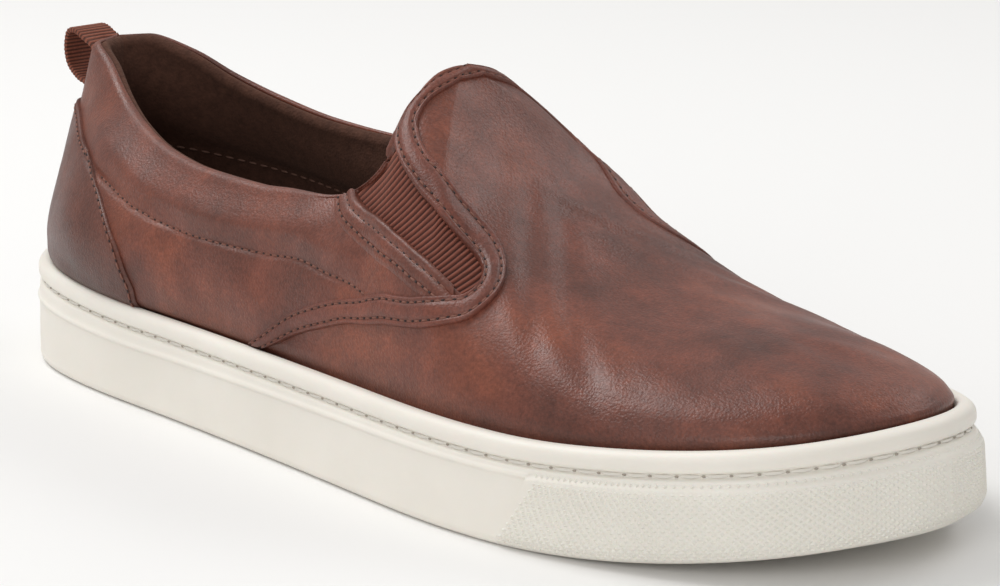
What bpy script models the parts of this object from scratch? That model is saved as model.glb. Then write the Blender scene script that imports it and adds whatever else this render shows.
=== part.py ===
"""Slip-on sneaker, right shoe, standing empty on its sole.

Metres. +X runs from the heel to the toe, +Y to the inner side of the foot, +Z up from the ground.
"""
import bmesh
import bpy
import numpy as np

# overall sizes of the shoe
SOLE_LENGTH = 0.298
BALL_WIDTH = 0.108
HEEL_HEIGHT = 0.080

# cup sole
WALL_HEIGHT = 0.0252
HEEL_WALL_EXTRA = 0.0024
TOE_WALL_LESS = 0.0014
TOE_SPRING = 0.0096
SPRING_START = 0.72
CUP_WALL = 0.0043
TOE_LEAN = 0.0024
WALL_TAPER = 0.0008
LINE_CLIMB = 0.0030
CORNER_ROUND = 0.0002
HEEL_FLOOR = 0.0140
FOREFOOT_FLOOR = 0.0095
ARCH_HOLLOW = 0.0012
GROOVE_DEPTH = 0.0010
RIB_PROUD = 0.0005
LIP_PROUD = 0.0004
BUMPER_PROUD = 0.0009
BUMPER_START_LOW = 0.722
BUMPER_START_HIGH = 0.767
BUMPER_SLANT_TOP = 0.65

# upper and what is sewn to it
PIECE_GAP = 0.0003
UPPER_START = 0.0010
CUP_GAP = 0.0004
OVERLAY_GAP = 0.0005
UPPER_WALL = 0.0020
COLLAR_PAD = 0.0032
ROLL_FLAT = 0.0014
ROLL_HEIGHT = 0.45
GORE_THICKNESS = 0.0014
GORE_RECESS = 0.0004
GORE_CLEARANCE = 0.0004
NOTCH_INWARD = 0.0035
NOTCH_OUTWARD = 0.0016
NOTCH_PAST_RIM = 0.4
TRIM_THICKNESS = 0.0010
COUNTER_THICKNESS = 0.0009
PANEL_BEVEL = 0.0003
INSOLE_THICKNESS = 0.0045
INSOLE_DISH = 0.0018
INSOLE_BEVEL = 0.0006
LOOP_WIDTH = 0.0110
LOOP_MIDDLE = 0.0005
LOOP_THICKNESS = 0.0014

# edge of the sole seen from below, walked from the heel along the outer side to the toe and back
# along, share of sole length; across, share of ball width, plus towards the inner side
SOLE_EDGE = (
    (0.000, 0.004), (0.015, -0.157), (0.060, -0.293), (0.140, -0.370), (0.280, -0.406),
    (0.420, -0.438), (0.560, -0.478), (0.680, -0.503), (0.800, -0.460), (0.900, -0.350),
    (0.965, -0.207), (1.000, 0.050), (0.975, 0.243), (0.920, 0.372), (0.820, 0.482),
    (0.720, 0.494), (0.600, 0.452), (0.460, 0.374), (0.300, 0.340), (0.150, 0.350),
    (0.060, 0.304), (0.015, 0.171),
)
TOE_ROW = 11

# side of the cup from the ground up to the lip and over it
# level: share of the wall height; rise: metres added; out: metres past the edge
# lean, rib, bumper, groove, lip, climb: share of that feature in the row
SIDE_ROWS = (
    # level, rise, out, lean, rib, bumper, groove, lip, climb
    (0.0, 0.0000, -0.0018, 0.0, 0.0, 0.0, 0.0, 0.0, 0.0),
    (0.0, 0.0006, -0.0005, 0.0, 0.0, 0.0, 0.0, 0.0, 0.0),
    (0.0, 0.0020, 0.0000, 0.0, 0.0, 0.0, 0.0, 0.0, 0.0),
    (0.0, 0.0030, 0.0000, 0.1, 0.0, 1.0, 0.0, 0.0, 0.0),
    (0.4, 0.0000, 0.0000, 0.3, 0.0, 1.0, 0.0, 0.0, 0.0),
    (1.0, -0.0114, 0.0000, 0.5, 0.0, 1.0, 0.0, 0.0, 1.0),
    (1.0, -0.0109, 0.0000, 0.5, 1.0, 0.8, 0.0, 0.0, 1.0),
    (1.0, -0.0102, 0.0000, 0.6, 1.0, 0.0, 0.0, 0.0, 1.0),
    (1.0, -0.0097, 0.0000, 0.6, 0.0, 0.0, 0.0, 0.0, 1.0),
    (1.0, -0.0060, 0.0000, 0.8, 0.0, 0.0, 0.0, 0.0, 0.0),
    (1.0, -0.0056, 0.0000, 0.8, 0.0, 0.0, 1.0, 0.0, 0.0),
    (1.0, -0.0048, 0.0000, 0.8, 0.0, 0.0, 1.0, 0.0, 0.0),
    (1.0, -0.0043, 0.0000, 0.9, 0.0, 0.0, 0.0, 0.5, 0.0),
    (1.0, -0.0030, 0.0000, 0.9, 0.0, 0.0, 0.0, 1.0, 0.0),
    (1.0, -0.0012, 0.0000, 1.0, 0.0, 0.0, 0.0, 0.6, 0.0),
    (1.0, -0.0002, -0.0010, 1.0, 0.0, 0.0, 0.0, 0.0, 0.0),
    (1.0, 0.0000, -0.0022, 1.0, 0.0, 0.0, 0.0, 0.0, 0.0),
    (1.0, -0.0003, -0.0036, 1.0, 0.0, 0.0, 0.0, 0.0, 0.0),
    (1.0, -0.0012, -0.0043, 1.0, 0.0, 0.0, 0.0, 0.0, 0.0),
)

# top line of the upper: the collar from the heel to the tab, then the ridge of the vamp
# round: share of the way round the sole edge; along: share of sole length
# outer, inner: share of ball width from the middle; height: share of heel height
# drop: how much lower the inner side is, in the same share
TOP_ROWS = (
    # round, along, outer, inner, height, drop
    (0.000, 0.032, 0.010, 0.010, 1.000, 0.000),
    (0.040, 0.047, -0.080, 0.101, 1.000, 0.000),
    (0.080, 0.084, -0.123, 0.158, 0.962, 0.000),
    (0.130, 0.127, -0.171, 0.203, 0.893, 0.000),
    (0.190, 0.177, -0.222, 0.238, 0.836, 0.000),
    (0.260, 0.239, -0.270, 0.267, 0.787, 0.000),
    (0.330, 0.307, -0.300, 0.287, 0.763, 0.000),
    (0.400, 0.379, -0.308, 0.290, 0.758, 0.000),
    (0.455, 0.441, -0.301, 0.282, 0.780, 0.000),
    (0.485, 0.473, -0.288, 0.269, 0.795, 0.000),
    (0.526, 0.508, -0.248, 0.237, 0.893, 0.020),
    (0.548, 0.515, -0.214, 0.204, 0.995, 0.036),
    (0.565, 0.509, -0.147, 0.149, 1.087, 0.034),
    (0.585, 0.505, -0.062, 0.070, 1.148, 0.014),
    (0.605, 0.505, 0.000, 0.000, 1.167, 0.000),
    (0.650, 0.550, 0.003, 0.003, 0.974, 0.000),
    (0.700, 0.602, 0.008, 0.008, 0.811, 0.000),
    (0.750, 0.656, 0.014, 0.014, 0.692, 0.000),
    (0.800, 0.705, 0.022, 0.022, 0.620, 0.000),
    (0.850, 0.755, 0.028, 0.028, 0.580, 0.000),
    (0.900, 0.800, 0.034, 0.034, 0.560, 0.000),
    (0.950, 0.840, 0.038, 0.038, 0.545, 0.000),
    (1.000, 0.870, 0.040, 0.040, 0.530, 0.000),
)
TAB_ROUND = 0.605

# how a rib runs from the lip to the top line
# closed: 0 for the open quarters, 1 for the vamp; bulge: metres that the rib swells outwards
# outer, inner: how hollow the vamp is on that side, 1 for an ellipse
RIB_ROWS = (
    # round, closed, bulge, outer, inner
    (0.000, 0.00, 0.0012, 1.00, 1.20),
    (0.080, 0.00, 0.0030, 1.00, 1.20),
    (0.200, 0.00, 0.0076, 1.00, 1.20),
    (0.330, 0.00, 0.0044, 1.00, 1.25),
    (0.430, 0.12, 0.0020, 1.00, 1.30),
    (0.500, 0.45, 0.0008, 1.00, 1.36),
    (0.560, 0.90, 0.0000, 1.00, 1.42),
    (0.605, 1.00, 0.0000, 1.00, 1.38),
    (0.700, 1.00, 0.0000, 1.00, 1.26),
    (0.800, 1.00, 0.0000, 0.98, 1.18),
    (0.900, 1.00, 0.0000, 0.92, 0.96),
    (1.000, 1.00, 0.0000, 0.90, 0.90),
)

# elastic insert, from the collar down to its tip; round and up as for the upper
GORE_ROWS = (
    # rear_round, rear_up, front_round, front_up
    (0.499, 1.000, 0.552, 1.000),
    (0.508, 0.880, 0.556, 0.865),
    (0.522, 0.745, 0.563, 0.755),
    (0.544, 0.581, 0.575, 0.652),
    (0.564, 0.461, 0.587, 0.592),
    (0.581, 0.404, 0.600, 0.557),
    (0.597, 0.371, 0.614, 0.546),
    (0.613, 0.358, 0.627, 0.552),
    (0.628, 0.363, 0.638, 0.562),
    (0.640, 0.374, 0.648, 0.563),
    (0.649, 0.390, 0.656, 0.545),
    (0.656, 0.420, 0.660, 0.515),
)

# raised strip on the edge of the vamp, from the sole round the insert and up to the top of the tab
TRIM_ROWS = (
    # edge_round, edge_up, vamp_round, vamp_up
    (0.407, 0.045, 0.427, 0.045),
    (0.422, 0.118, 0.442, 0.095),
    (0.445, 0.238, 0.462, 0.165),
    (0.465, 0.308, 0.487, 0.216),
    (0.497, 0.352, 0.517, 0.232),
    (0.538, 0.305, 0.552, 0.193),
    (0.579, 0.256, 0.586, 0.178),
    (0.611, 0.273, 0.615, 0.201),
    (0.635, 0.345, 0.643, 0.288),
    (0.646, 0.400, 0.659, 0.373),
    (0.653, 0.455, 0.670, 0.464),
    (0.655, 0.500, 0.675, 0.546),
    (0.653, 0.533, 0.674, 0.612),
    (0.646, 0.548, 0.668, 0.659),
    (0.636, 0.544, 0.657, 0.682),
    (0.622, 0.528, 0.643, 0.682),
    (0.605, 0.521, 0.628, 0.661),
    (0.587, 0.562, 0.611, 0.646),
    (0.572, 0.642, 0.594, 0.672),
    (0.561, 0.740, 0.583, 0.724),
    (0.553, 0.857, 0.577, 0.779),
    (0.550, 0.960, 0.573, 0.835),
    (0.555, 0.985, 0.574, 0.875),
    (0.562, 0.985, 0.578, 0.900),
    (0.572, 0.985, 0.586, 0.915),
    (0.583, 0.986, 0.597, 0.932),
    (0.595, 0.988, 0.612, 0.958),
    (0.608, 1.000, 0.621, 1.000),
)

# panel round the heel: how far it reaches round each side at each height
COUNTER_ROWS = (
    # up, reach
    (0.045, 0.271),
    (0.140, 0.270),
    (0.250, 0.264),
    (0.370, 0.256),
    (0.490, 0.239),
    (0.610, 0.212),
    (0.680, 0.184),
    (0.735, 0.150),
)

# middle of the webbing of the pull loop, from its lower to its upper end
# height: share of heel height; away: metres behind the heel
LOOP_ROWS = (
    # height, away
    (0.829, 0.0011),
    (0.843, 0.0012),
    (0.858, 0.0026),
    (0.877, 0.0066),
    (0.912, 0.0105),
    (0.963, 0.0123),
    (1.008, 0.0121),
    (1.030, 0.0105),
    (1.029, 0.0077),
    (1.012, 0.0049),
    (0.988, 0.0023),
    (0.965, 0.0012),
    (0.932, 0.0010),
)


def slopes(x, y):
    """Slopes of a curve through the points that never overshoots them."""
    step = np.diff(x)
    rise = np.diff(y) / step
    out = np.zeros_like(y)
    out[0], out[-1] = rise[0], rise[-1]
    same = rise[:-1] * rise[1:] > 0.0
    wa = 2.0 * step[1:] + step[:-1]
    wb = step[1:] + 2.0 * step[:-1]
    safe_a = np.where(same, rise[:-1], 1.0)
    safe_b = np.where(same, rise[1:], 1.0)
    out[1:-1] = np.where(same, (wa + wb) / (wa / safe_a + wb / safe_b), 0.0)
    return out


class Table:
    """Smooth columns read by the share in the first column."""

    def __init__(self, rows):
        data = np.array(rows, dtype=float)
        self.x = data[:, 0]
        self.y = [data[:, k].copy() for k in range(1, data.shape[1])]
        self.m = [slopes(self.x, y) for y in self.y]

    def __call__(self, column, at):
        at = np.clip(np.asarray(at, dtype=float), self.x[0], self.x[-1])
        i = np.clip(np.searchsorted(self.x, at, side="right") - 1, 0, len(self.x) - 2)
        h = self.x[i + 1] - self.x[i]
        t = (at - self.x[i]) / h
        y, m = self.y[column], self.m[column]
        return ((1 + 2 * t) * (1 - t) ** 2 * y[i] + t * (1 - t) ** 2 * h * m[i]
                + t * t * (3 - 2 * t) * y[i + 1] + t * t * (t - 1) * h * m[i + 1])


def ease(low, high, value):
    """0 below low, 1 above high, smooth between."""
    t = np.clip((np.asarray(value, dtype=float) - low) / (high - low), 0.0, 1.0)
    return t * t * (3.0 - 2.0 * t)


def closed_curve(points, per_span):
    """Cubic through a closed ring of points, with the same number of steps in every span."""
    n = len(points)
    ring = np.vstack([points, points[:1]])
    span = np.hypot(*np.diff(ring, axis=0).T)
    system = np.zeros((n, n))
    right = np.zeros((n, 2))
    for k in range(n):
        a, b = span[k - 1], span[k]
        system[k, (k - 1) % n] += a
        system[k, k] += 2.0 * (a + b)
        system[k, (k + 1) % n] += b
        right[k] = 6.0 * ((ring[k + 1] - ring[k]) / b - (ring[k] - ring[k - 1 if k else n - 1]) / a)
    bend = np.linalg.solve(system, right)
    out = []
    for k in range(n):
        h, m0, m1 = span[k], bend[k], bend[(k + 1) % n]
        for s in np.arange(per_span) / per_span:
            u, w = 1.0 - s, s
            out.append(u * ring[k] + w * ring[k + 1]
                       + ((u ** 3 - u) * m0 + (w ** 3 - w) * m1) * h * h / 6.0)
    return np.array(out)


class Edge:
    """Edge of the sole, read by side and by the share of the way from heel to toe."""

    def __init__(self):
        per_span = 60
        points = np.array(SOLE_EDGE) * (SOLE_LENGTH, BALL_WIDTH)
        ring = closed_curve(points, per_span)
        toe = TOE_ROW * per_span
        ahead = np.roll(ring, -1, axis=0) - np.roll(ring, 1, axis=0)
        ahead /= np.hypot(*ahead.T)[:, None]
        normal = np.stack([ahead[:, 1], -ahead[:, 0]], axis=1)
        outer = np.arange(0, toe + 1)
        inner = np.r_[0, np.arange(len(ring) - 1, toe - 1, -1)]
        self.sides = {}
        for side, order in ((-1, outer), (1, inner)):
            walk = ring[order]
            run = np.r_[0.0, np.cumsum(np.hypot(*np.diff(walk, axis=0).T))]
            self.sides[side] = (run / run[-1], walk, normal[order])
            self.length = run[-1]

    def __call__(self, signed, inset=0.0):
        """Point (x, y) at a signed share (minus on the outer side), moved in by inset."""
        signed = np.asarray(signed, dtype=float)
        inset = np.broadcast_to(inset, signed.shape)
        out = np.zeros(signed.shape + (2,))
        for side in (-1, 1):
            pick = signed < 0 if side < 0 else signed >= 0
            share, walk, normal = self.sides[side]
            at = np.abs(signed[pick])
            for axis in (0, 1):
                out[pick, axis] = (np.interp(at, share, walk[:, axis])
                                   - inset[pick] * np.interp(at, share, normal[:, axis]))
        return out

    def normal(self, signed):
        return (self(signed, -0.001) - self(signed)) / 0.001

    def share_at(self, side, along):
        """Share on one side where the edge passes a length from the heel."""
        share, walk, _ = self.sides[side]
        return float(np.interp(along, walk[:, 0], share))


EDGE = Edge()
TOP = Table(TOP_ROWS)
RIB = Table(RIB_ROWS)


def ground(x):
    """Underside of the sole edge: flat, then rising under the toe."""
    lift = np.clip((x / SOLE_LENGTH - SPRING_START) / (1.0 - SPRING_START), 0.0, 1.2)
    return TOE_SPRING * lift ** 2


def wall_height(x):
    """Height of the side wall, more at the heel and less at the toe."""
    share = x / SOLE_LENGTH
    extra = HEEL_WALL_EXTRA * (1.0 - ease(0.0, 0.26, share))
    return WALL_HEIGHT + extra - TOE_WALL_LESS * ease(0.80, 1.0, share)


def line_climb(x):
    """How far the moulded line has come up towards the groove, from heel to bumper."""
    return ease(-0.20, 0.80, x / SOLE_LENGTH)


def toe_lean(signed):
    """How far the side of the sole leans in at its lip."""
    return WALL_TAPER + (TOE_LEAN - WALL_TAPER) * ease(0.72, 0.97, np.abs(signed))


def floor_top(x):
    """Upper face of the floor of the cup."""
    thick = HEEL_FLOOR + (FOREFOOT_FLOOR - HEEL_FLOOR) * ease(0.25, 0.68, x / SOLE_LENGTH)
    return ground(x) + thick


def ridge_slope(share):
    """Fall of the ridge of the vamp per metre towards the toe."""
    at = np.clip(share, TAB_ROUND + 0.02, 0.98)
    drop = (TOP(3, at + 0.02) - TOP(3, at - 0.02)) * HEEL_HEIGHT
    return drop / ((TOP(0, at + 0.02) - TOP(0, at - 0.02)) * SOLE_LENGTH)


def upper_point(signed, up):
    """Outer face of the upper. up: -1 at the floor, 0 at the lip, 1 at the top line."""
    signed = np.asarray(signed, dtype=float)
    up = np.asarray(up, dtype=float)
    signed, up = np.broadcast_arrays(signed, up)
    share = np.abs(signed)
    low = EDGE(signed, CUP_WALL + CUP_GAP + toe_lean(signed))
    x = EDGE(signed)[..., 0]
    z_lip = ground(x) + wall_height(x) - UPPER_START
    z_floor = floor_top(low[..., 0]) + PIECE_GAP
    top_x = TOP(0, share) * SOLE_LENGTH
    top_y = np.where(signed < 0, TOP(1, share), TOP(2, share)) * BALL_WIDTH
    top_z = (TOP(3, share) - np.where(signed < 0, 0.0, TOP(4, share))) * HEEL_HEIGHT
    closed, bulge = RIB(0, share), RIB(1, share)
    full = np.where(signed < 0, RIB(2, share), RIB(3, share))
    t = np.clip(up, 0.0, 1.0)
    turn = t * np.pi / 2.0
    over = (1.0 - closed) * t ** 1.3 + closed * (1.0 - np.cos(turn))
    rise = (1.0 - closed) * t + closed * np.sin(turn) ** full
    swell = bulge * np.sin(np.pi * t ** 0.8)
    normal = EDGE.normal(signed)
    point = np.stack([
        low[..., 0] + (top_x - low[..., 0]) * over + normal[..., 0] * swell,
        low[..., 1] + (top_y - low[..., 1]) * over + normal[..., 1] * swell,
        z_lip + (top_z - z_lip) * rise], axis=-1)
    point[..., 2] += closed ** 2 * ridge_slope(share) * (low[..., 0] - top_x) * (1.0 - over) * t ** 2
    drop = np.clip(-up, 0.0, 1.0)
    point[..., 2] -= (z_lip - z_floor) * drop
    past = np.clip(up - 1.0, 0.0, None)
    if np.any(past > 0.0):
        slope = (upper_point(signed, np.ones_like(up)) - upper_point(signed, np.full_like(up, 0.98)))
        point += slope / 0.02 * past[..., None]
    return point


def upper_normal(signed, up):
    """Outward normal of the outer face."""
    signed, up = np.broadcast_arrays(np.asarray(signed, float), np.asarray(up, float))
    step = 0.004
    side = np.where(signed < 0, -1.0, 1.0)
    share = np.abs(signed)
    lo, hi = np.clip(share - step, 0.0, 1.0), np.clip(share + step, 0.0, 1.0)
    around = upper_point(side * np.maximum(hi, 1e-9), up) - upper_point(side * np.maximum(lo, 1e-9), up)
    climb = upper_point(signed, up + step) - upper_point(signed, up - step)
    on_top = up > 1.0 - 2.0 * step
    climb = np.where(on_top[..., None],
                     upper_point(signed, up) - upper_point(signed, up - 2.0 * step), climb)
    normal = np.cross(around, climb) * -side[..., None]
    return normal / np.linalg.norm(normal, axis=-1, keepdims=True)


def pick_rows(rows, count):
    """Rows of a table resampled evenly along their middle, on a smooth curve through the given ones."""
    data = np.array(rows, dtype=float)
    ends = np.vstack([2.0 * data[:1] - data[1:2], data, 2.0 * data[-1:] - data[-2:-1]])
    smooth = []
    for k in range(len(data) - 1):
        a, b, c, d = ends[k:k + 4]
        for t in np.arange(8) / 8.0:
            smooth.append(b + 0.5 * t * (c - a + t * (2 * a - 5 * b + 4 * c - d + t * (3 * (b - c) + d - a))))
    smooth = np.vstack(smooth + [data[-1]])
    half = 0.5 * (smooth[:, :2] + smooth[:, 2:]) if data.shape[1] == 4 else smooth
    point = upper_point(-half[:, 0], half[:, 1]) if data.shape[1] == 4 else half
    run = np.r_[0.0, np.cumsum(np.linalg.norm(np.diff(point, axis=0), axis=1))]
    at = np.linspace(0.0, run[-1], count)
    return np.stack([np.interp(at, run, smooth[:, k]) for k in range(data.shape[1])], axis=1)


def on_upper(signed, up):
    """Points and normals of the outer face; the two sides share their normal on the ridge."""
    point = upper_point(signed, up)
    normal = upper_normal(signed, up)
    seam = (up > 0.9999) & (np.abs(signed) >= TAB_ROUND)
    if seam.any():
        other = upper_normal(-signed, up)
        normal = np.where(seam[..., None], normal + other, normal)
        normal /= np.linalg.norm(normal, axis=-1, keepdims=True)
    return point, normal


def grow(grid, margin):
    """Move the rim of a grid of points outwards within its own surface."""
    out = grid.copy()
    for first, second in ((0, 1), (-1, -2)):
        away = out[first] - out[second]
        out[first] += away / np.linalg.norm(away, axis=-1, keepdims=True) * margin
    for first, second in ((0, 1), (-1, -2)):
        away = out[:, first] - out[:, second]
        out[:, first] += away / np.linalg.norm(away, axis=-1, keepdims=True) * margin
    return out


class Body:
    """Points and faces of one solid."""

    def __init__(self):
        self.points = []
        self.faces = []

    def add(self, points):
        points = np.atleast_2d(points)
        first = len(self.points)
        self.points.extend(tuple(float(c) for c in p) for p in points)
        return list(range(first, first + len(points)))

    def strip(self, a, b, closed=False):
        """Quads between two rows of indices."""
        n = len(a)
        for k in range(n if closed else n - 1):
            j = (k + 1) % n
            self.faces.append((a[k], a[j], b[j], b[k]))

    def slab(self, grid, normal, low, high, bevel=0.0):
        """Closed sheet between two heights over a grid of points (rows, columns, 3)."""
        layers = []
        for lift in (low, high):
            shaped = grow(grid, -bevel) if lift == high and bevel else grid
            layers.append([self.add(row + n * lift) for row, n in zip(shaped, normal)])
        self.sandwich(*layers)

    def sandwich(self, low, high):
        """Faces of two layers of indices, each a list of rows, and of the edge between them."""
        rims = []
        for layer in (low, high):
            for a, b in zip(layer[:-1], layer[1:]):
                self.strip(a, b)
            rims.append(layer[0] + [row[-1] for row in layer[1:-1]] + layer[-1][::-1]
                        + [row[0] for row in layer[-2:0:-1]])
        self.strip(*rims, closed=True)

    def cap(self, outer, inner, z_at, columns=6):
        """Close a ring with rungs; outer and inner are its two sides from heel to toe."""
        rungs = []
        for k in range(1, len(outer) - 1):
            a, b = np.array(self.points[outer[k]]), np.array(self.points[inner[k]])
            mid = []
            for j in range(1, columns):
                s = j / columns
                p = a + (b - a) * s
                p[2] = z_at(p[0], s)
                mid.append(p)
            rungs.append([outer[k]] + self.add(np.array(mid)) + [inner[k]])
        for a, b in zip(rungs[:-1], rungs[1:]):
            self.strip(a, b)
        for end, rung in ((outer[0], rungs[0]), (outer[-1], rungs[-1])):
            for a, b in zip(rung[:-1], rung[1:]):
                self.faces.append((end, a, b))

    def finish(self, name, slot, colour, roughness, angle=35.0):
        """The solid as a named object."""
        mesh = bpy.data.meshes.new(name)
        mesh.from_pydata(self.points, [], self.faces)
        return place(mesh, name, slot, colour, roughness, angle)


def place(mesh, name, slot, colour, roughness, angle):
    """Object with its faces outwards, smooth but for its edges, in its own material."""
    work = bmesh.new()
    work.from_mesh(mesh)
    bmesh.ops.remove_doubles(work, verts=work.verts, dist=0.00001)
    bmesh.ops.recalc_face_normals(work, faces=work.faces)
    if work.calc_volume(signed=True) < 0.0:
        bmesh.ops.reverse_faces(work, faces=work.faces)
    work.to_mesh(mesh)
    work.free()
    mesh.polygons.foreach_set("use_smooth", [True] * len(mesh.polygons))
    mesh.set_sharp_from_angle(angle=np.radians(angle))
    obj = bpy.data.objects.new(name, mesh)
    bpy.context.scene.collection.objects.link(obj)
    if slot:
        material = bpy.data.materials.get(slot) or bpy.data.materials.new(slot)
        material.use_nodes = True
        shader = material.node_tree.nodes["Principled BSDF"]
        shader.inputs["Base Color"].default_value = (*colour, 1.0)
        shader.inputs["Roughness"].default_value = roughness
        shader.inputs["Metallic"].default_value = 0.0
        mesh.materials.append(material)
    return obj


def stations(heel, tab):
    """Shares round one side, closer together at the heel, the tab and the toe."""
    spans = ((0.0, 0.16, heel), (0.16, 0.47, 7), (0.47, TAB_ROUND, tab), (TAB_ROUND, 0.80, 7), (0.80, 1.0, 7))
    out = []
    for start, end, count in spans:
        out += [start + (end - start) * k / count for k in range(count)]
    return np.array(out + [1.0])


def ring(share):
    """Signed shares of a closed ring: outer side heel to toe, then inner side toe to heel."""
    return np.r_[-share, share[-2:0:-1]]


def halves(row, n):
    """Split a closed ring of indices into its outer and inner side, each heel to toe."""
    outer = row[:n]
    inner = [row[0]] + row[:n - 2:-1]
    return outer, inner


def build_cupsole():
    """Cup with its side wall, moulded line, toe bumper, stitch groove and floor."""
    body = Body()
    low = {side: EDGE.share_at(side, BUMPER_START_LOW * SOLE_LENGTH) for side in (-1, 1)}
    high = {side: EDGE.share_at(side, BUMPER_START_HIGH * SOLE_LENGTH) for side in (-1, 1)}
    edge = 0.5 * (low[-1] + low[1])
    share = stations(9, 5)
    share = np.sort(np.r_[share[np.abs(share - edge) > 0.008], edge - 0.0025, edge + 0.0025])
    n = len(share)
    signed = ring(share)
    side = np.where(signed < 0, -1, 1)
    rows = []
    for level, rise, out, lean, rib, bumper, groove, lip, climb in SIDE_ROWS:
        height = min(1.0, max(0.0, (level + rise / WALL_HEIGHT) / BUMPER_SLANT_TOP))
        shift = np.where(side < 0, high[-1] - edge, high[1] - low[1]) * height
        near = np.clip(1.0 - np.abs(np.abs(signed) - edge) / 0.12, 0.0, 1.0)
        at = signed + side * shift * near
        in_bumper = np.abs(signed) > edge
        base = EDGE(at)
        push = out - lean * toe_lean(at) + LIP_PROUD * lip - GROOVE_DEPTH * groove
        push = push + np.where(in_bumper, BUMPER_PROUD * bumper, RIB_PROUD * rib)
        spot = EDGE(at, -push)
        x = base[..., 0]
        z = ground(x) + level * wall_height(x) + rise + LINE_CLIMB * climb * line_climb(x)
        rows.append(body.add(np.column_stack([spot, z])))
    wall = EDGE(signed, CUP_WALL + toe_lean(signed))
    fillet = EDGE(signed, CUP_WALL + toe_lean(signed) + CORNER_ROUND)
    floor_z = floor_top(wall[:, 0])
    rows.append(body.add(np.column_stack([wall, floor_z + CORNER_ROUND])))
    rows.append(body.add(np.column_stack([fillet, floor_z])))
    for a, b in zip(rows[:-1], rows[1:]):
        body.strip(a, b, closed=True)

    def under(x, s):
        along = x / SOLE_LENGTH
        arch = ease(0.30, 0.42, along) * (1.0 - ease(0.52, 0.64, along))
        return ground(x) + ARCH_HOLLOW * arch * ease(0.0, 0.34, min(s, 1.0 - s))

    body.cap(*halves(rows[0], n), under)
    body.cap(*halves(rows[-1], n), lambda x, s: floor_top(x), 2)
    return body.finish("cupsole", "sole_rubber", (0.78, 0.76, 0.70), 0.55, 30.0)


UP_LEVELS = (-1.0, 0.0, 0.045, 0.14, 0.25, 0.37, 0.49, 0.61, 0.73, 0.84, 0.93, 1.0)


def wall_at(share, up):
    """Thickness of the upper: leather and lining, thicker where the collar is padded."""
    pad = ease(0.30, 0.75, up) * (1.0 - ease(0.42, 0.475, share))
    return UPPER_WALL + COLLAR_PAD * pad


def shell_spots(share):
    """Points and normals of the outer face by side, station and level."""
    spots = {}
    for side in (-1, 1):
        signed = side * np.maximum(share, 1e-7)
        for j, up in enumerate(UP_LEVELS):
            point = upper_point(signed, np.full(len(share), up))
            if up > 0.0:
                level = np.where((share > 0.97) & (up > 0.95), 0.95, up)
                normal = upper_normal(signed, level)
            else:
                normal = np.column_stack([EDGE.normal(signed), np.zeros(len(share))])
            for i in range(len(share)):
                spots[side, i, j] = (point[i], normal[i])
    return spots


def build_upper():
    """One hollow shell of leather, foam and lining, open at the foot, the collar and the inserts."""
    body = Body()
    share = stations(9, 10)
    n = len(share)
    tab = int(np.argmin(np.abs(share - TAB_ROUND)))
    last = len(UP_LEVELS) - 1
    spots = shell_spots(share)
    made = {}

    def at(side, i, j):
        """Outer index, inner index, point, normal and wall; the sides share the heel, toe and ridge."""
        shared = i in (0, n - 1) or (j == last and i >= tab)
        key = (0 if shared else side, i, j)
        if key not in made:
            point, normal = spots[side, i, j]
            if shared:
                normal = normal + spots[-side, i, j][1]
                normal = normal / np.linalg.norm(normal)
            thick = float(wall_at(share[i], max(UP_LEVELS[j], 0.0)))
            inner = point - normal * thick
            made[key] = (body.add(point)[0], body.add(inner)[0], point, normal, thick)
        return made[key]

    for side in (-1, 1):
        for i in range(n - 1):
            for j in range(last):
                corners = [at(side, i, j), at(side, i + 1, j), at(side, i + 1, j + 1), at(side, i, j + 1)]
                for layer in (0, 1):
                    body.faces.append(tuple(dict.fromkeys(c[layer] for c in corners)))
    bottom = [at(-1, i, 0) for i in range(n)] + [at(1, i, 0) for i in range(n - 2, 0, -1)]
    body.strip([c[0] for c in bottom], [c[1] for c in bottom], closed=True)
    collar = [at(-1, i, last) for i in range(tab + 1)] + [at(1, i, last) for i in range(tab - 1, 0, -1)]
    roll_rim(body, collar)
    upper = body.finish("upper", "brown_leather", (0.17, 0.065, 0.047), 0.42, 50.0)
    cutter = Body()
    for side in (-1, 1):
        point, normal = gore_grid(side)
        notch = grow(point, GORE_CLEARANCE)
        notch[0] += (notch[0] - notch[2]) * NOTCH_PAST_RIM
        cutter.slab(notch, normal, -NOTCH_INWARD, NOTCH_OUTWARD)
    cut_away(upper, cutter.finish("notch", "", (0, 0, 0), 0.5))
    return upper


def roll_rim(body, collar):
    """Rounded rim of the collar, from its outer to its inner face."""
    count = len(collar)
    rows = [[c[0] for c in collar]]
    for turn in (0.25 * np.pi, 0.5 * np.pi, 0.75 * np.pi):
        row = []
        for k, (_, _, point, normal, thick) in enumerate(collar):
            along = collar[(k + 1) % count][2] - collar[k - 1][2]
            away = np.cross(along, normal)
            away /= np.linalg.norm(away)
            inward = 0.5 * thick * (1.0 - np.cos(turn))
            row.append(point - normal * inward + away * ROLL_HEIGHT * (thick - ROLL_FLAT) * np.sin(turn))
        rows.append(body.add(np.array(row)))
    rows.append([c[1] for c in collar])
    for a, b in zip(rows[:-1], rows[1:]):
        body.strip(a, b, closed=True)


def triangulate(mesh):
    """Split every face into triangles."""
    work = bmesh.new()
    work.from_mesh(mesh)
    bmesh.ops.triangulate(work, faces=work.faces)
    work.to_mesh(mesh)
    work.free()


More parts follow.
